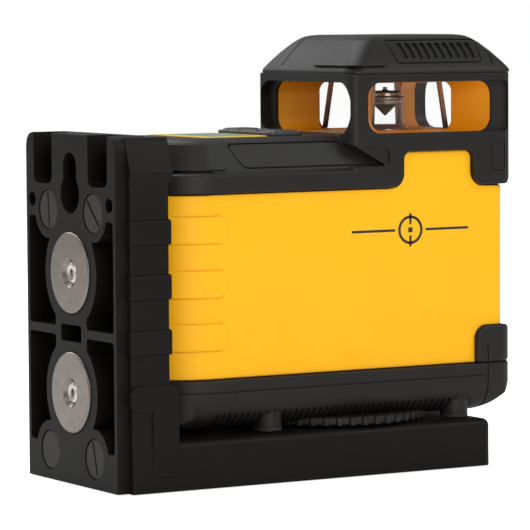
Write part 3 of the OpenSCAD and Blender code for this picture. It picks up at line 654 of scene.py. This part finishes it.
def studio():
    """Pale floor, even white surroundings and five soft lamps."""
    bpy.ops.mesh.primitive_plane_add(size=30, location=(0, 0, 0))
    floor = bpy.context.object
    floor.name = "floor"
    material, tree, shader, place = new_material("pale_floor")
    preset(shader, Base_Color=(0.95, 0.95, 0.95, 1), Roughness=0.6, Emission_Color=(1, 1, 1, 1))
    seen = node(tree, "ShaderNodeLightPath").outputs["Is Camera Ray"]
    feed(tree, shader, Emission_Strength=rescale(tree, seen, 0, 0.7))
    floor.data.materials.append(material)
    world = bpy.data.worlds.new("studio")
    world.use_nodes = True
    tree = world.node_tree
    background = preset(tree.nodes["Background"], Color=(1, 1, 1, 1))
    seen = node(tree, "ShaderNodeLightPath").outputs["Is Camera Ray"]
    feed(tree, background, Strength=rescale(tree, seen, 0.32, 1))
    bpy.context.scene.world = world
    target = Vector((-0.02, 0, 0.06))
    for name, place, size, power in (("key_light", (-0.25, -1.2, 0.5), 0.7, 7),
                                     ("slope_light", (0.6, -0.6, 0.75), 0.5, 2.6),
                                     ("side_light", (-1.1, 0.1, 0.5), 0.5, 1.9),
                                     ("top_light", (-0.1, 0.43, 1.2), 0.9, 10),
                                     ("back_light", (-0.25, 1.05, 0.65), 0.6, 2.6)):
        data = bpy.data.lights.new(name, "AREA")
        data.size = size
        data.energy = power
        light = bpy.data.objects.new(name, data)
        bpy.context.scene.collection.objects.link(light)
        light.location = place
        light.rotation_euler = (target - Vector(place)).to_track_quat("-Z", "Y").to_euler()
    bpy.context.scene.view_settings.view_transform = "Standard"


# ------------------------ bracket

def bracket_body():
    """Magnet plate, its cheeks with the grip bars, and the foot, as one piece."""
    lo, hi = box_mm("bracket_frame")
    face = lo.x                                   # outer face of the magnet plate
    inner = face + 11.8
    foot_start, foot_end = face + 3.8, box_mm("bracket_foot")[1].x
    foot_z, top = 15.5, hi.z
    plate = fillet(block((face, -30, lo.z), (inner, 30, top)), "X", 4.2, lambda m: m.z > top - 1, 3)
    foot = block((foot_start, -33, lo.z), (foot_end, 33, foot_z - 2.5))
    fillet(foot, "Z", 3, lambda m: m.x > foot_end - 1)
    parts = [inset_steps(foot, FOOT_STEPS)]
    shoulder = [(28.4, 94.6), (31.4, 94.6), (33.2, 97.4), (33.2, 98.4), (29.4, 108.2), (28.4, 109)]
    for side in SIDES:
        parts.append(side_block(side, (-88, -74.7), (28.5, 32.2), (foot_z - 1, 97)))
        low = side_block(side, (-88.6, -72), (29.5, 33.2), (25.4, 33.2))
        parts.append(fillet(low, "Y", 2.4, lambda m: m.x < -80 or (m.x > -73 and m.z > 33), 6))
        parts.append(side_block(side, (-81, -72.02), (29.5, 33.2), (5, 30)))
        parts.append(side_block(side, (foot_start, -79), (28.5, 32.6), (lo.z, 27)))
        parts.append(plate_from([(side * y, z) for y, z in shoulder], "X", -88.2, -73.4))
        for z in (84, 67.3, 50.3):
            bar = side_block(side, (-88.5, -74.2), (30, 33.2), (z - 7.8, z))
            parts.append(fillet(bar, "X", 1.0, lambda m: abs(m.y) > 33, 4))
    add(plate, *parts)
    for side in SIDES:
        strap_slot = side_block(side, (face - 1, inner - 3.6), (12.1, 24.8), (93.5, top + 6))
        cut(plate, fillet(strap_slot, "X", 3, lambda m: m.z < 94),
            rod("X", (side * 25.9, 88.4), face - 1, face + 8, 2.3, sides=32))
    web = block((inner - 1, -28, foot_z - 1), (inner + 4, 28, foot_z + 4))
    cut(web, rod("Y", (inner + 4.01, foot_z + 4.01), -30, 30, 4, sides=48))
    add(plate, web)
    # keyhole
    key = block((face - 1, -4.4, 91), (face + 3, 4.4, 103.9))
    fillet(key, "X", 4.2, lambda m: m.z > 103, 10)
    add(key, rod("X", (0, 91), face - 1.01, face + 3.01, 6.25, sides=48))
    deep = fillet(block((face + 2, -6.25, 85), (inner - 2.4, 6.25, 104)), "X", 6.1, segments=10)
    cut(plate, key, deep)
    # pockets beside the magnets
    for side in SIDES:
        for level, heights, plug_clear in ((1, (49.3, 83.3), 9), (0, (12.1, 46.6), 9.3)):
            pocket = side_block(side, (face - 1, inner - 2.8), (10.3, 28.3), heights)
            fillet(pocket, "X", 1.2, segments=4)
            cut(pocket, rod("X", (0, MAGNET_Z[level]), face - 2, inner, 17.2, sides=96),
                rod("X", (side * PLUG_Y, PLUG_Z[level]), face - 2, inner, plug_clear))
            cut(plate, pocket)
    cut(plate, fillet(block((face - 1, -6.8, 44.9), (inner - 2.8, 6.8, 50.2)), "X", 0.8, segments=3))
    for z in MAGNET_Z:
        cut(plate, rod("X", (0, z), face - 1, face + 4, 12.95, sides=96))
    for side in SIDES:
        for z in PLUG_Z:
            cut(plate, rod("X", (side * PLUG_Y, z), face - 1, face + 5, 6.35))
    # turning axis and second thread, seen from below
    cut(plate, rod("Z", (0, 0), -1, 7.9, 11), rod("Z", (0, 0), 7, 10.6, 9),
        rod("Z", (0, 0), 10, 20, 6, sides=48), rod("Z", (26, 0), -1, 11, 5, sides=48))
    for x in (-80, 38.5):
        for y in (-26, 26):
            cut(plate, rod("Z", (x, y), -1, 1.2, 4, sides=40))
    soften(plate, 0.45)
    finish_piece(plate, "bracket_body", "bracket", "bracket_nylon", "bracket_frame", "bracket_foot")


def magnets():
    """Two ring magnets, each held by a screw with a hexagonal socket."""
    face = box_mm("ring_magnets")[0].x
    for name, z in zip(("magnet_lower", "magnet_upper"), MAGNET_Z):
        first = z == MAGNET_Z[0]
        ring = turned([(1.9, 4.5), (12.45, 4.5), (12.7, 4.2), (12.7, 0.35), (12.35, 0), (11.9, -0.02),
                       (4.75, 0), (4.55, 0.15), (1.9, 2.8)], "X", (face, 0, z), 96)
        plating = metal("nickel_" + name, (0.31, 0.275, 0.245), (0.19, 0.165, 0.145), 0.3,
                        centre=(0, 0, z), across=(0, 1, 1), pitch=0.35, bump=0.25)
        finish_piece(ring, name, "bracket", "magnet_nickel", *(["ring_magnets"] if first else []),
                     finish=plating)
        head = turned([(0, 1.4), (1.1, 1.4), (1.25, 0.35), (2.6, 0.1), (3.35, 0.5), (3.4, 0.9), (1.7, 2.6),
                       (1.7, 6), (0, 6)], "X", (face + 0.5, 0, z), 48)
        cut(head, rod("X", (0, z), face, face + 2.2, 1.3, sides=6))
        smooth(head, 30)
        finish_piece(head, "screw_" + name, "bracket", "screw_steel",
                     *(["magnet_screws"] if first else []))


def plugs():
    """Four round plugs; all but the lower one at the back show a slot, each at its own angle."""
    face = box_mm("bracket_frame")[0].x
    for level, z, lean in (("lower", PLUG_Z[0], 5), ("upper", PLUG_Z[1], -25)):
        for end, side in (("front", -1), ("back", 1)):
            name = f"plug_{level}_{end}"
            plug = turned([(0, 5), (6.2, 5), (6.2, 0.45), (5.95, 0.2), (0, 0.2)],
                          "X", (face, side * PLUG_Y, z), 64)
            if name != "plug_lower_back":
                slot = block((face - 1, -0.45, -5.4), (face + 1.4, 0.45, 5.4))
                slot.rotation_euler = (math.radians(side * 20 + lean), 0, 0)
                slot.location = Vector((0, side * PLUG_Y, z)) * MM
                cut(plug, apply_place(slot))
            soften(plug, 0.12, 2)
            finish_piece(plug, name, "bracket", "plug_nylon",
                         *(["slotted_plugs"] if name == "plug_lower_front" else []))


# ------------------------ body shells

def shell_form(grow, low, high):
    """Rounded block in the plan of the shells, grown or shrunk at the sides."""
    half = SHELL_HALF + grow
    obj = block((SHELL_ENDS[0] - grow, -half, low), (SHELL_ENDS[1] + grow, half, high))
    fillet(obj, "Z", 18 + grow, lambda m: m.x < 0, 24)
    return fillet(obj, "Z", max(0.8, 4 + grow), lambda m: m.x > 0)


def yellow_shells():
    """Two half shells with finger ridges and the tab under the tower; the rear one takes the door."""
    low, high = 33.4, 90.5
    for side, name in ((-1, "front_shell"), (1, "rear_shell")):
        body = shell_form(0, low, high)
        add(body, tab_shape(side, 25.1, SHELL_HALF, 0))
        soften(body, 0.5, 4)
        cut(body, shell_form(-2.4, low - 5, high + 20))
        for z in (46.5, 63, 79.8):
            band = shell_form(1.1, z - 4.4, z + 4.4)
            pill = side_block(side, (-90, -51.5), (0, 40), (z - 4.5, z + 4.5))
            fillet(pill, "Y", 3.4, lambda m: m.x > -60, 10)
            ridge = soften(common(band, pill), 0.9, 4)
            add(body, cut(ridge, shell_form(-1, low, high)))
        cut(body, side_block(-side, (-100, 100), (0.02, 60), (0, 130)))
        if name == "rear_shell":
            cut(body, block((-56.3, 20, 41), (0.3, 40, 78.3)), block((-44, 20, 36.1), (-12, 40, 42)))
            for x in (-56, -10):
                add(body, rod("X", HINGE, x, x + 10, 1.4, sides=32))
            cut(body, rod("X", HINGE, -60, 5, 0.8, sides=24))
        smooth(body)
        finish_piece(body, "yellow_" + name, "housing", "shell_yellow", name)


# ------------------------ lower part of the body

def tray_form(shrink=0):
    """Shallow boat that closes the body from below, rounded both ways."""
    low, half = 17.4 + shrink, COVER_HALF - shrink
    x0, x1 = COVER_ENDS[0] + shrink, COVER_ENDS[1] - shrink
    form = fillet(block((x0, -half, low), (x1, half, TRAY_TOP)), "Z", 20, lambda m: m.x < 0, 24)
    fillet(form, "Z", 6, lambda m: m.x > 0, 10)
    lengthways = block((x0, -40, low), (x1, 40, TRAY_TOP + 5))
    fillet(lengthways, "Y", 15.2, lambda m: m.z < 20 and m.x > 0, 16)
    fillet(lengthways, "Y", 9, lambda m: m.z < 20 and m.x < 0, 10)
    across = block((-80, -half, low), (60, half, TRAY_TOP + 5))
    fillet(across, "X", 10, lambda m: m.z < 20, 14)
    return common(form, lengthways, across)


def base_tray():
    """Black tray with its four posts, and the guard that rises over the front end."""
    groove = (44.2, 44.7)
    tray = soften(tray_form(), 0.5)
    cut(tray, shell_form(-2.4, 23, 60))
    # grooves along the sides and round the front end, and grip ribs under the long sides
    tools = [block((groove[0], -40, 10), (groove[1], 40, 32.9))]
    for side in SIDES:
        tools.append(side_block(side, (-70, 43), (20, 40), (29.1, 29.5)))
        for k in range(42):
            tools.append(side_block(side, (-56 + 2.2 * k, -55 + 2.2 * k), (20, 40), (16, 22.4)))
    engrave(tray, tray_form(0.4), joined(tools))
    add(tray, rod("Z", (0, 0), 22, 30, 9))
    for x in (-35, 35):
        for y in (-23.5, 23.5):
            add(tray, rod("Z", (x, y), 17.0, 25, 4.5, sides=48))
    cut(tray, block((12.7, 22, 27), (27.3, 32, 30)))
    finish_piece(smooth(tray), "tray", "housing", "body_black", "base_tray")

    start, end, top = 40.4, COVER_ENDS[1], 45.5
    guard = block((start, -COVER_HALF, TRAY_TOP), (end, COVER_HALF, top))
    fillet(guard, "Z", 6, lambda m: m.x > 50, 10)
    outline = fillet(block((start, -60, TRAY_TOP), (end, 60, top)), "Y", 4.5, lambda m: m.z > 45, 12)
    soften(common(guard, outline), 1.2, 5)
    cut(guard, shell_form(0.02, 20, 60))
    for side in SIDES:
        cut(guard, side_block(side, groove, (29.1, 40), (33, 39)))
    finish_piece(smooth(guard), "front_end_guard", "housing", "body_black", "end_guard")


def turn_ring():
    """Knurled ring between the body and the foot."""
    ring = turned([(4.05, 16.2), (31.6, 16.2), (32.3, 16.8), (32.3, 18.5), (31.8, 18.99), (4.05, 18.99)],
                  "Z", (0, 0, 0), 96)
    grip = block((31.9, -0.95, 16.4), (33.15, 0.95, 18.8))
    fillet(grip, "Z", 0.5, lambda m: m.x > 33, 4)
    ridges = []
    for k in range(48):
        ridge = twin(grip)
        ridge.data.transform(Matrix.Rotation(math.radians(7.5 * k), 4, "Z"))
        ridges.append(ridge)
    bpy.data.objects.remove(grip)
    smooth(joined([ring, *ridges]), 35)
    finish_piece(ring, "knurled_ring", "housing", "body_black", "turn_ring")


def lock_knob():
    """Ribbed slider of the transport lock, with the wedge that lifts the plunger."""
    knob = block((12, 29.9, 26.05), (36, 30.7, 31.45))
    fillet(knob, "Y", 1.2, segments=5)
    for k in range(7):
        x = 14 + 3 * k
        rib = block((x - 0.8, 30.5, 26.5), (x + 0.8, 31.45, 31))
        fillet(rib, "Z", 0.45, lambda m: m.y > 31, 4)
        add(knob, rib)
    add(knob, block((21, 24, 27.35), (27, 30.2, 29.65)), block((21, 20, 24), (27, 24.6, 29.65)),
        block((21, 3, 23.45), (27, 24.6, 26)))
    add(knob, plate_from([(18, 23.35), (34, 23.35), (34, 31.9), (18, 25.5)], "Y", -3.5, 3.5))
    soften(knob, 0.2, 2)
    finish_piece(knob, "lock_knob", "lock_knob", "knob_plastic", "lock_slider")


def battery_door():
    """Door with its hinge knuckle, a sunk panel and grip ribs."""
    door = block((-56, 25.1, 41.3), (0, 27.5, 78))
    fillet(door, "Y", 2.0, lambda m: m.z > 77, 8)
    add(door, block((-43.7, 25.1, 39), (-12.3, 27.5, 42)), rod("X", HINGE, -43.7, -12.3, 1.4, sides=40),
        block((-43.7, 26.9, 38), (-12.3, 27.9, 39.5)))
    cut(door, fillet(block((-52.5, 27.1, 45), (-3.5, 29, 64)), "Y", 2.5))
    for k in range(9):
        x = -44 + 4 * k
        add(door, fillet(block((x - 0.8, 27.2, 67.6), (x + 0.8, 27.95, 71.4)), "Y", 0.7, segments=5))
    cut(door, rod("Y", (-28, 73.8), 20, 30, 2.65, sides=40), rod("X", HINGE, -60, 5, 0.8, sides=24))
    soften(door, 0.3)
    finish_piece(door, "battery_door_panel", "door", "shell_yellow", "battery_door")


# ------------------------ top of the body

def deck_form(grow=0):
    """Deck with its lip and slope; runs on into the tower, which hides its front end."""
    half = COVER_HALF + grow
    obj = block((COVER_ENDS[0] - grow, -half, 91), (40, half, 96.2 + grow))
    fillet(obj, "Z", 20 + grow, lambda m: m.x < 0, 24)
    return inset_steps(obj, DECK_STEPS)


def tower_block(low, high, shrink=0):
    """Tower walls, rounder at the front end and under its lower corner."""
    start, end, half = TOWER_START + shrink, COVER_ENDS[1] - shrink, COVER_HALF - shrink
    obj = fillet(block((start, -half, low), (end, half, high)), "Z", 2.6, lambda m: m.x < 0)
    fillet(obj, "Z", 5.2, lambda m: m.x > 50, 12)
    under = block((start, -60, low), (end, 60, high))
    return common(obj, fillet(under, "Y", 4.4, lambda m: m.x > 50 and m.z < 100, 12))


def cap_form(grow=0):
    """Cap of the tower, stepped in from its rim to a flat top, its corners rounded down their length."""
    start, end, half = TOWER_START - grow, COVER_ENDS[1] + grow, COVER_HALF + grow
    rim = CAP_TOP - sum(rise for _, rise in CAP_STEPS) + grow
    obj = inset_steps(block((start, -half, CAP_LOW), (end, half, rim)), CAP_STEPS)

    def corner(a, b):
        """Upright or diagonal edge, away from the middle of the top."""
        middle = (a + b) / 2
        out_x, out_y = abs(middle.x - PRISM_X) / 31, abs(middle.y) / COVER_HALF
        run_x, run_y = abs(a.x - b.x), abs(a.y - b.y)
        upright = run_x < 0.01 and run_y < 0.01
        return upright or (abs(run_x - run_y) < 0.01 and min(out_x, out_y) > 0.3)

    select_edges(obj, corner)
    bpy.ops.mesh.bevel(offset=4 * MM, segments=12, affect="EDGES")
    leave_edit()
    return obj


def key_wells():
    """Opening under each key, through bezel and cover."""
    return [block((-28.65, y - 5, 100), (-18.15, y + 5, 112)) for y in KEYS.values()]


def frame_tool(points, axis, lo, hi, width, radius):
    """Thin closed band that follows an outline, for a panel line."""
    outer = fillet(plate_from(points, axis, lo, hi), axis, radius, segments=6)
    inner = twin(outer)
    corners = [v.co for v in inner.data.vertices]
    middle = sum(corners, Vector()) / len(corners)
    size = [max(c[i] for c in corners) - min(c[i] for c in corners) for i in range(3)]
    factor = [1 - 2 * width * MM / s for s in size]
    factor["XYZ".index(axis)] = 1.5
    select_whole(inner)
    bpy.ops.transform.resize(value=factor, center_override=middle)
    leave_edit()
    return cut(outer, inner)


def engrave(obj, core, *tools):
    """Cuts lines into a surface only as deep as the core form leaves."""
    for tool in tools:
        cut(tool, twin(core))
        cut(obj, tool)
    bpy.data.objects.remove(core)


def tab_shape(side, near, far, gap):
    """Yellow tab that reaches up into the tower, with its flared foot."""
    start, end, flare_top, flare_r = 12.8 - gap, 39.2 + gap, 95.4, 4.8
    tool = side_block(side, (start, end), (near, far), (84, 102.2 + gap))
    fillet(tool, "Y", 2.5, lambda m: m.z > 102)
    for x, way in ((start, -1), (end, 1)):
        outer = x + way * flare_r
        ends = (min(x - way, outer), max(x - way, outer))
        flare = side_block(side, ends, (near, far), (84, flare_top))
        cut(flare, rod("Y", (outer, flare_top), -60, 60, flare_r, sides=96))
        add(tool, flare)
    return tool


def top_cover():
    """Deck and tower as one piece, with its windows, key wells and panel lines."""
    cover = add(deck_form(), tower_block(91.0, CAP_LOW))
    # the deck's slope runs on past the tower's lower rear corner
    corner = [(-9, 107.2), (-8.9, 106.1), (5.1, 98.5), (5.1, 97.9), (-12, 97.9), (-12, 107.2)]
    for side in SIDES:
        sweep = plate_from(corner, "Y", *span(side, 15, 40))
        cut(cover, cut(sweep, deck_form(0.01)))
        cut(cover, tab_shape(side, 24, 40, 0.06))
    soften(cover, 0.5)
    # hollow for the works, for the lantern and the shaft of the pendulum
    cut(cover, block((-68, -24, 80), (50.5, 24, 104.5)),
        block((PRISM_X - 26.6, -26.6, 106.3), (PRISM_X + 26.6, 26.6, 130)),
        rod("Z", (PRISM_X, 0), 100, 110, 12.5))
    # each window is a wide shallow recess with the opening at its bottom
    opening_z = (WINDOW[0] + 0.3, WINDOW[1] - 0.3)
    end_windows = {-1: ((-8, -3.8), 28.1, (-6, 5)), 1: ((52, 60), 23.6, (45, 56))}
    for side in SIDES:
        recess = side_block(side, (-1.5, 53), (27.5, 40), WINDOW)
        fillet(recess, "Y", 6.3, lambda m: m.x < 0, 12)
        cut(cover, fillet(recess, "Y", 2.6, lambda m: m.x > 50))
        opening = side_block(side, (PRISM_X - 23.6, PRISM_X + 23.2), (20, 30), opening_z)
        cut(cover, fillet(opening, "Y", 4.6, segments=12))
        recess_x, half, opening_x = end_windows[side]
        recess = block((recess_x[0], -half, WINDOW[0]), (recess_x[1], half, WINDOW[1]))
        cut(cover, fillet(recess, "X", 6.6, segments=12))
        opening = block((opening_x[0], -23.4, opening_z[0]), (opening_x[1], 23.4, opening_z[1]))
        cut(cover, fillet(opening, "X", 4.6, segments=12))
    cut(cover, *key_wells())
    # raised pads over the rear corners, panel lines on the slopes and on the front end
    rear_pad = [(-78, 98.3), (-50, 98.3), (-55.4, 106.2), (-78, 106.2)]
    slope_panel = [(-45.2, 98.3), (4.4, 98.3), (-8.8, 106.1), (-49.6, 106.1)]
    end_panel = [(45.8, 95.3), (51.4, 95.3), (51.4, 104.6), (45.8, 104.6)]
    corner_panel = [(-2.6, 104.3), (6.6, 103.3), (7.4, 98.8), (5.6, 98.8)]
    for side in SIDES:
        wide, narrow = span(side, 12, 40), span(side, 20, 40)
        pad = fillet(plate_from(rear_pad, "Y", *wide), "Y", 2.4, lambda m: m.x > -60)
        add(cover, common(pad, deck_form(0.55)))
        engrave(cover, deck_form(-0.35), frame_tool(slope_panel, "Y", *wide, 0.35, 2))
        engrave(cover, tower_block(80, CAP_LOW + 1, 0.35), frame_tool(end_panel, "Y", *narrow, 0.35, 1.2))
        engrave(cover, tower_block(80, CAP_LOW + 1, 0.6), plate_from(corner_panel, "Y", *narrow))
    smooth(cover)
    finish_piece(cover, "upper_cover", "housing", "body_black", "top_cover", "tower_frame")


def tower_cap():
    """Cap with a raised pad at the back end, panel lines and a grille on both slopes."""
    cap = soften(cap_form(), 0.4, 3, 30)
    pad = plate_from([(-9, 129.7), (7.2, 129.7), (7.4, 138.2), (-9, 138.2)], "Y", -40, -5)
    fillet(pad, "Y", 1.8, lambda m: m.x > 0)
    add(cap, common(pad, cap_form(0.55)))
    cross_line = [(15, 129.4), (15.5, 129.4), (14, 138.4), (13.5, 138.4)]
    engrave(cap, cap_form(-0.3), plate_from(cross_line, "X", -12, 8))
    grille = [(11.2, 130.2), (43.4, 130.2), (44.6, 137.7), (10.2, 137.7)]
    end_line = [(46.7, 129.4), (47.1, 129.4), (48.4, 138), (48, 138)]
    bands = [frame_tool(grille, "Y", *span(side, 12, 40), 0.35, 1.0) for side in SIDES]
    engrave(cap, cap_form(-0.35), *bands)
    for side in SIDES:
        y = span(side, 12, 40)
        slots = []
        for k in range(10):
            x = 14.4 + 2.85 * k
            slot = plate_from([(x, 131.4), (x + 1.6, 131.4), (x + 1.3, 136.7), (x - 0.3, 136.7)], "Y", *y)
            slots.append(fillet(slot, "Y", 0.7, segments=4))
        engrave(cap, cap_form(-0.5), joined(slots))
        engrave(cap, cap_form(-0.3), plate_from(end_line, "Y", *y))
    hollow = block((PRISM_X - 23, -22, 126), (PRISM_X + 23, 22, 132))
    cut(cap, inset_steps(hollow, [(6, 4)]))
    finish_piece(smooth(cap), "cap", "housing", "body_black", "tower_cap")


def at_tower(turn):
    """Turn in degrees round the tower's middle, for what sits at each of its four sides."""
    return Matrix.Translation(Vector((PRISM_X, 0, 0)) * MM) @ Matrix.Rotation(math.radians(turn), 4, "Z")


def lantern():
    """Yellow block inside the tower with a funnel-shaped window through each side."""
    half, mouth, throat, depth = 26.55, 23.4, 15.5, 15.9
    low, high = 108.25, 124.25
    body = block((PRISM_X - half, -half, 106.4), (PRISM_X + half, half, 126.1))
    for turn in (0, 90, 180, 270):
        funnel = fillet(block((-mouth, depth, low), (mouth, half + 0.1, high)), "Y", 4.6, segments=10)
        select_faces(funnel, lambda c, n: n.y < -0.9)
        middle = Vector((0, depth, (low + high) / 2)) * MM
        bpy.ops.transform.resize(value=(throat / mouth, 1, 15.2 / 16), center_override=middle)
        leave_edit()
        funnel.data.transform(at_tower(turn))
        cut(body, funnel)
    chamber = fillet(block((PRISM_X - 15.95, -15.95, low + 0.15), (PRISM_X + 15.95, 15.95, 124.6)), "Z", 1)
    cut(body, chamber, rod("Z", (PRISM_X, 0), 100, 110, 12.5), rod("Z", (PRISM_X, 0), 120, 130, 11.5))
    soften(body, 0.5)
    # its finish is the shell yellow darkened, as painted shade
    finish_piece(body, "lantern", "housing", "shell_yellow", "lantern_frame", finish=LANTERN_YELLOW_PAINTED_SHADE)


def panes():
    """Four leaning panes whose bevelled edges meet in dark seams."""
    low, high, foot_out, top_out, thick = 108.8, 124.3, 15.0, 13.4, 1.1
    lean, reach = (foot_out - top_out) * MM, foot_out - 0.9
    for k in range(4):
        pane = block((-reach, -foot_out, low), (reach, -foot_out + thick, high))
        select_faces(pane, lambda c, n: n.z > 0.9)
        bpy.ops.transform.resize(value=((top_out - 0.9) / reach, 1, 1), center_override=(0, 0, high * MM))
        bpy.ops.transform.translate(value=(0, lean, 0))
        leave_edit()
        soften(pane, 0.12, 2)
        pane.data.transform(at_tower(90 * k))
        finish_piece(pane, f"pane_{k + 1}", "housing", "clear_glass", *(["window_panes"] if k == 0 else []))
        out, back = -foot_out - 0.1, -foot_out + 1.4
        seam = block((out, out, low), (back, back, high))
        fillet(seam, "Z", 0.6, lambda m: m.x < -foot_out and m.y < -foot_out, 4)
        select_faces(seam, lambda c, n: n.z > 0.9)
        bpy.ops.transform.translate(value=(lean, lean, 0))
        leave_edit()
        soften(seam, 0.1, 2)
        seam.data.transform(at_tower(90 * k))
        # the seam's colour is a painted reflection, dark below and brown above
        finish_piece(seam, f"pane_seam_{k + 1}", "housing", "clear_glass", finish=PANE_EDGE_REFLECTION)


def prism_stack():
    """Pendulum's head: cone mirror hung from its collar, over a glass tube on a metal base."""
    centre = (PRISM_X, 0, 0)
    cone = turned([(0, 112.8), (0.35, 113.0), (3.3, 115.9), (4.15, 116.7), (4.2, 117.9), (0, 118)],
                  "Z", centre, 24)
    smooth(cone, 20)
    finish_piece(cone, "cone_mirror", "pendulum", "cone_mirror", "cone_prism")
    collar = turned([(0, 118), (4.9, 118), (5, 117.2), (5.5, 117.2), (5.6, 118), (6.1, 118.05), (6.25, 118.3),
                     (6.25, 118.9), (6.0, 119.15), (5.5, 119.2), (5.4, 119.5), (5.4, 120.4), (4.8, 121),
                     (1.2, 121), (1.0, 121.3), (0.7, 121.4), (0.7, 122.1), (0.5, 122.2), (0, 122.2)],
                    "Z", centre)
    finish_piece(collar, "prism_mount_collar", "pendulum", "prism_mount", "prism_collar")
    base = turned([(3, 108), (7.7, 108), (7.8, 108.15), (7.8, 108.7), (7.5, 108.9), (7.1, 109.5),
                   (6.6, 109.7), (6.3, 110), (3, 110)], "Z", centre)
    finish_piece(base, "prism_mount_base", "pendulum", "prism_mount", "prism_base")
    tube = turned([(5.25, 110), (5.7, 110), (5.8, 110.1), (5.8, 117.9), (5.7, 118), (5.25, 118)],
                  "Z", centre, 64)
    finish_piece(tube, "prism_tube", "pendulum", "clear_glass", "prism_glass_tube", finish=TUBE_GLASS)


def deck_furniture():
    """Label, keypad frame and three keys: the middle one dished, the outer two ribbed."""
    label = fillet(block((-54, -18, DECK), (-30.4, 18, DECK + 0.22)), "Z", 2, segments=6)
    inset_steps(label, [(0.25, 0.05)])
    finish_piece(smooth(label), "label", "housing", "label_film", "label_plate")
    bezel = fillet(block((-30, -17, DECK), (-16.8, 17, DECK + 1.2)), "Z", 2.4)
    cut(inset_steps(bezel, [(0.6, 0.1)]), *key_wells())
    soften(bezel, 0.25)
    finish_piece(bezel, "keypad_frame", "housing", "key_rubber", "keypad_bezel")
    rib_z = DECK + 1.35
    for name, y in KEYS.items():
        key = fillet(block((-28.4, y - 4.75, 103.2), (-18.4, y + 4.75, DECK + 1.25)), "Z", 1, segments=6)
        inset_steps(key, [(0.35, 0.3), (0.4, 0.15)])
        add(key, block((-28.9, y - 5.25, 102.6), (-17.9, y + 5.25, 103.7)))
        soften(key, 0.12, 2)
        if name == "power":
            cut(key, rod("Z", (-23.4, y), rib_z, DECK + 3, 2.6, 4.6, 40))
        else:
            for k in range(5):
                add(key, rod("X", (y + (k - 2) * 1.7, rib_z), -27.2, -19.6, 0.55, sides=20))
        finish_piece(smooth(key), f"key_{name}_cap", f"{name}_key", "key_rubber", f"key_{name}")


def front_mark():
    """Plain printed sign for the laser planes: a ring with a level and an upright line."""
    x, z, near, far = 16, 77.2, -SHELL_HALF - 0.06, -SHELL_HALF + 0.3
    ring = rod("Y", (x, z), near, far, 4.6)
    pieces = [cut(ring, rod("Y", (x, z), near - 1, far + 1, 3.7))]
    for lo, hi in (((-6, 76.8), (10.2, 77.6)), ((21.8, 76.8), (38, 77.6)), ((15.6, 71.9), (16.4, 75.4)),
                   ((15.6, 79), (16.4, 82.5)), ((15.2, 76.4), (16.8, 78))):
        pieces.append(block((lo[0], near, lo[1]), (hi[0], far, hi[1])))
    finish_piece(smooth(joined(pieces)), "level_sign", "housing", "body_black", finish=PRINT_BLACK)


place_camera()
studio()
bracket_body()
magnets()
plugs()
yellow_shells()
base_tray()
turn_ring()
lock_knob()
battery_door()
top_cover()
tower_cap()
lantern()
panes()
prism_stack()
deck_furniture()
front_mark()

slot_of = {row["node"]: row["material_slot"] for row in frame["record"]["subparts"]}
for name, obj in frame["nodes"].items():
    finish = SLOT_FINISH[slot_of[name]]
    if obj.data.materials:
        obj.data.materials[0] = finish
    else:
        obj.data.materials.append(finish)
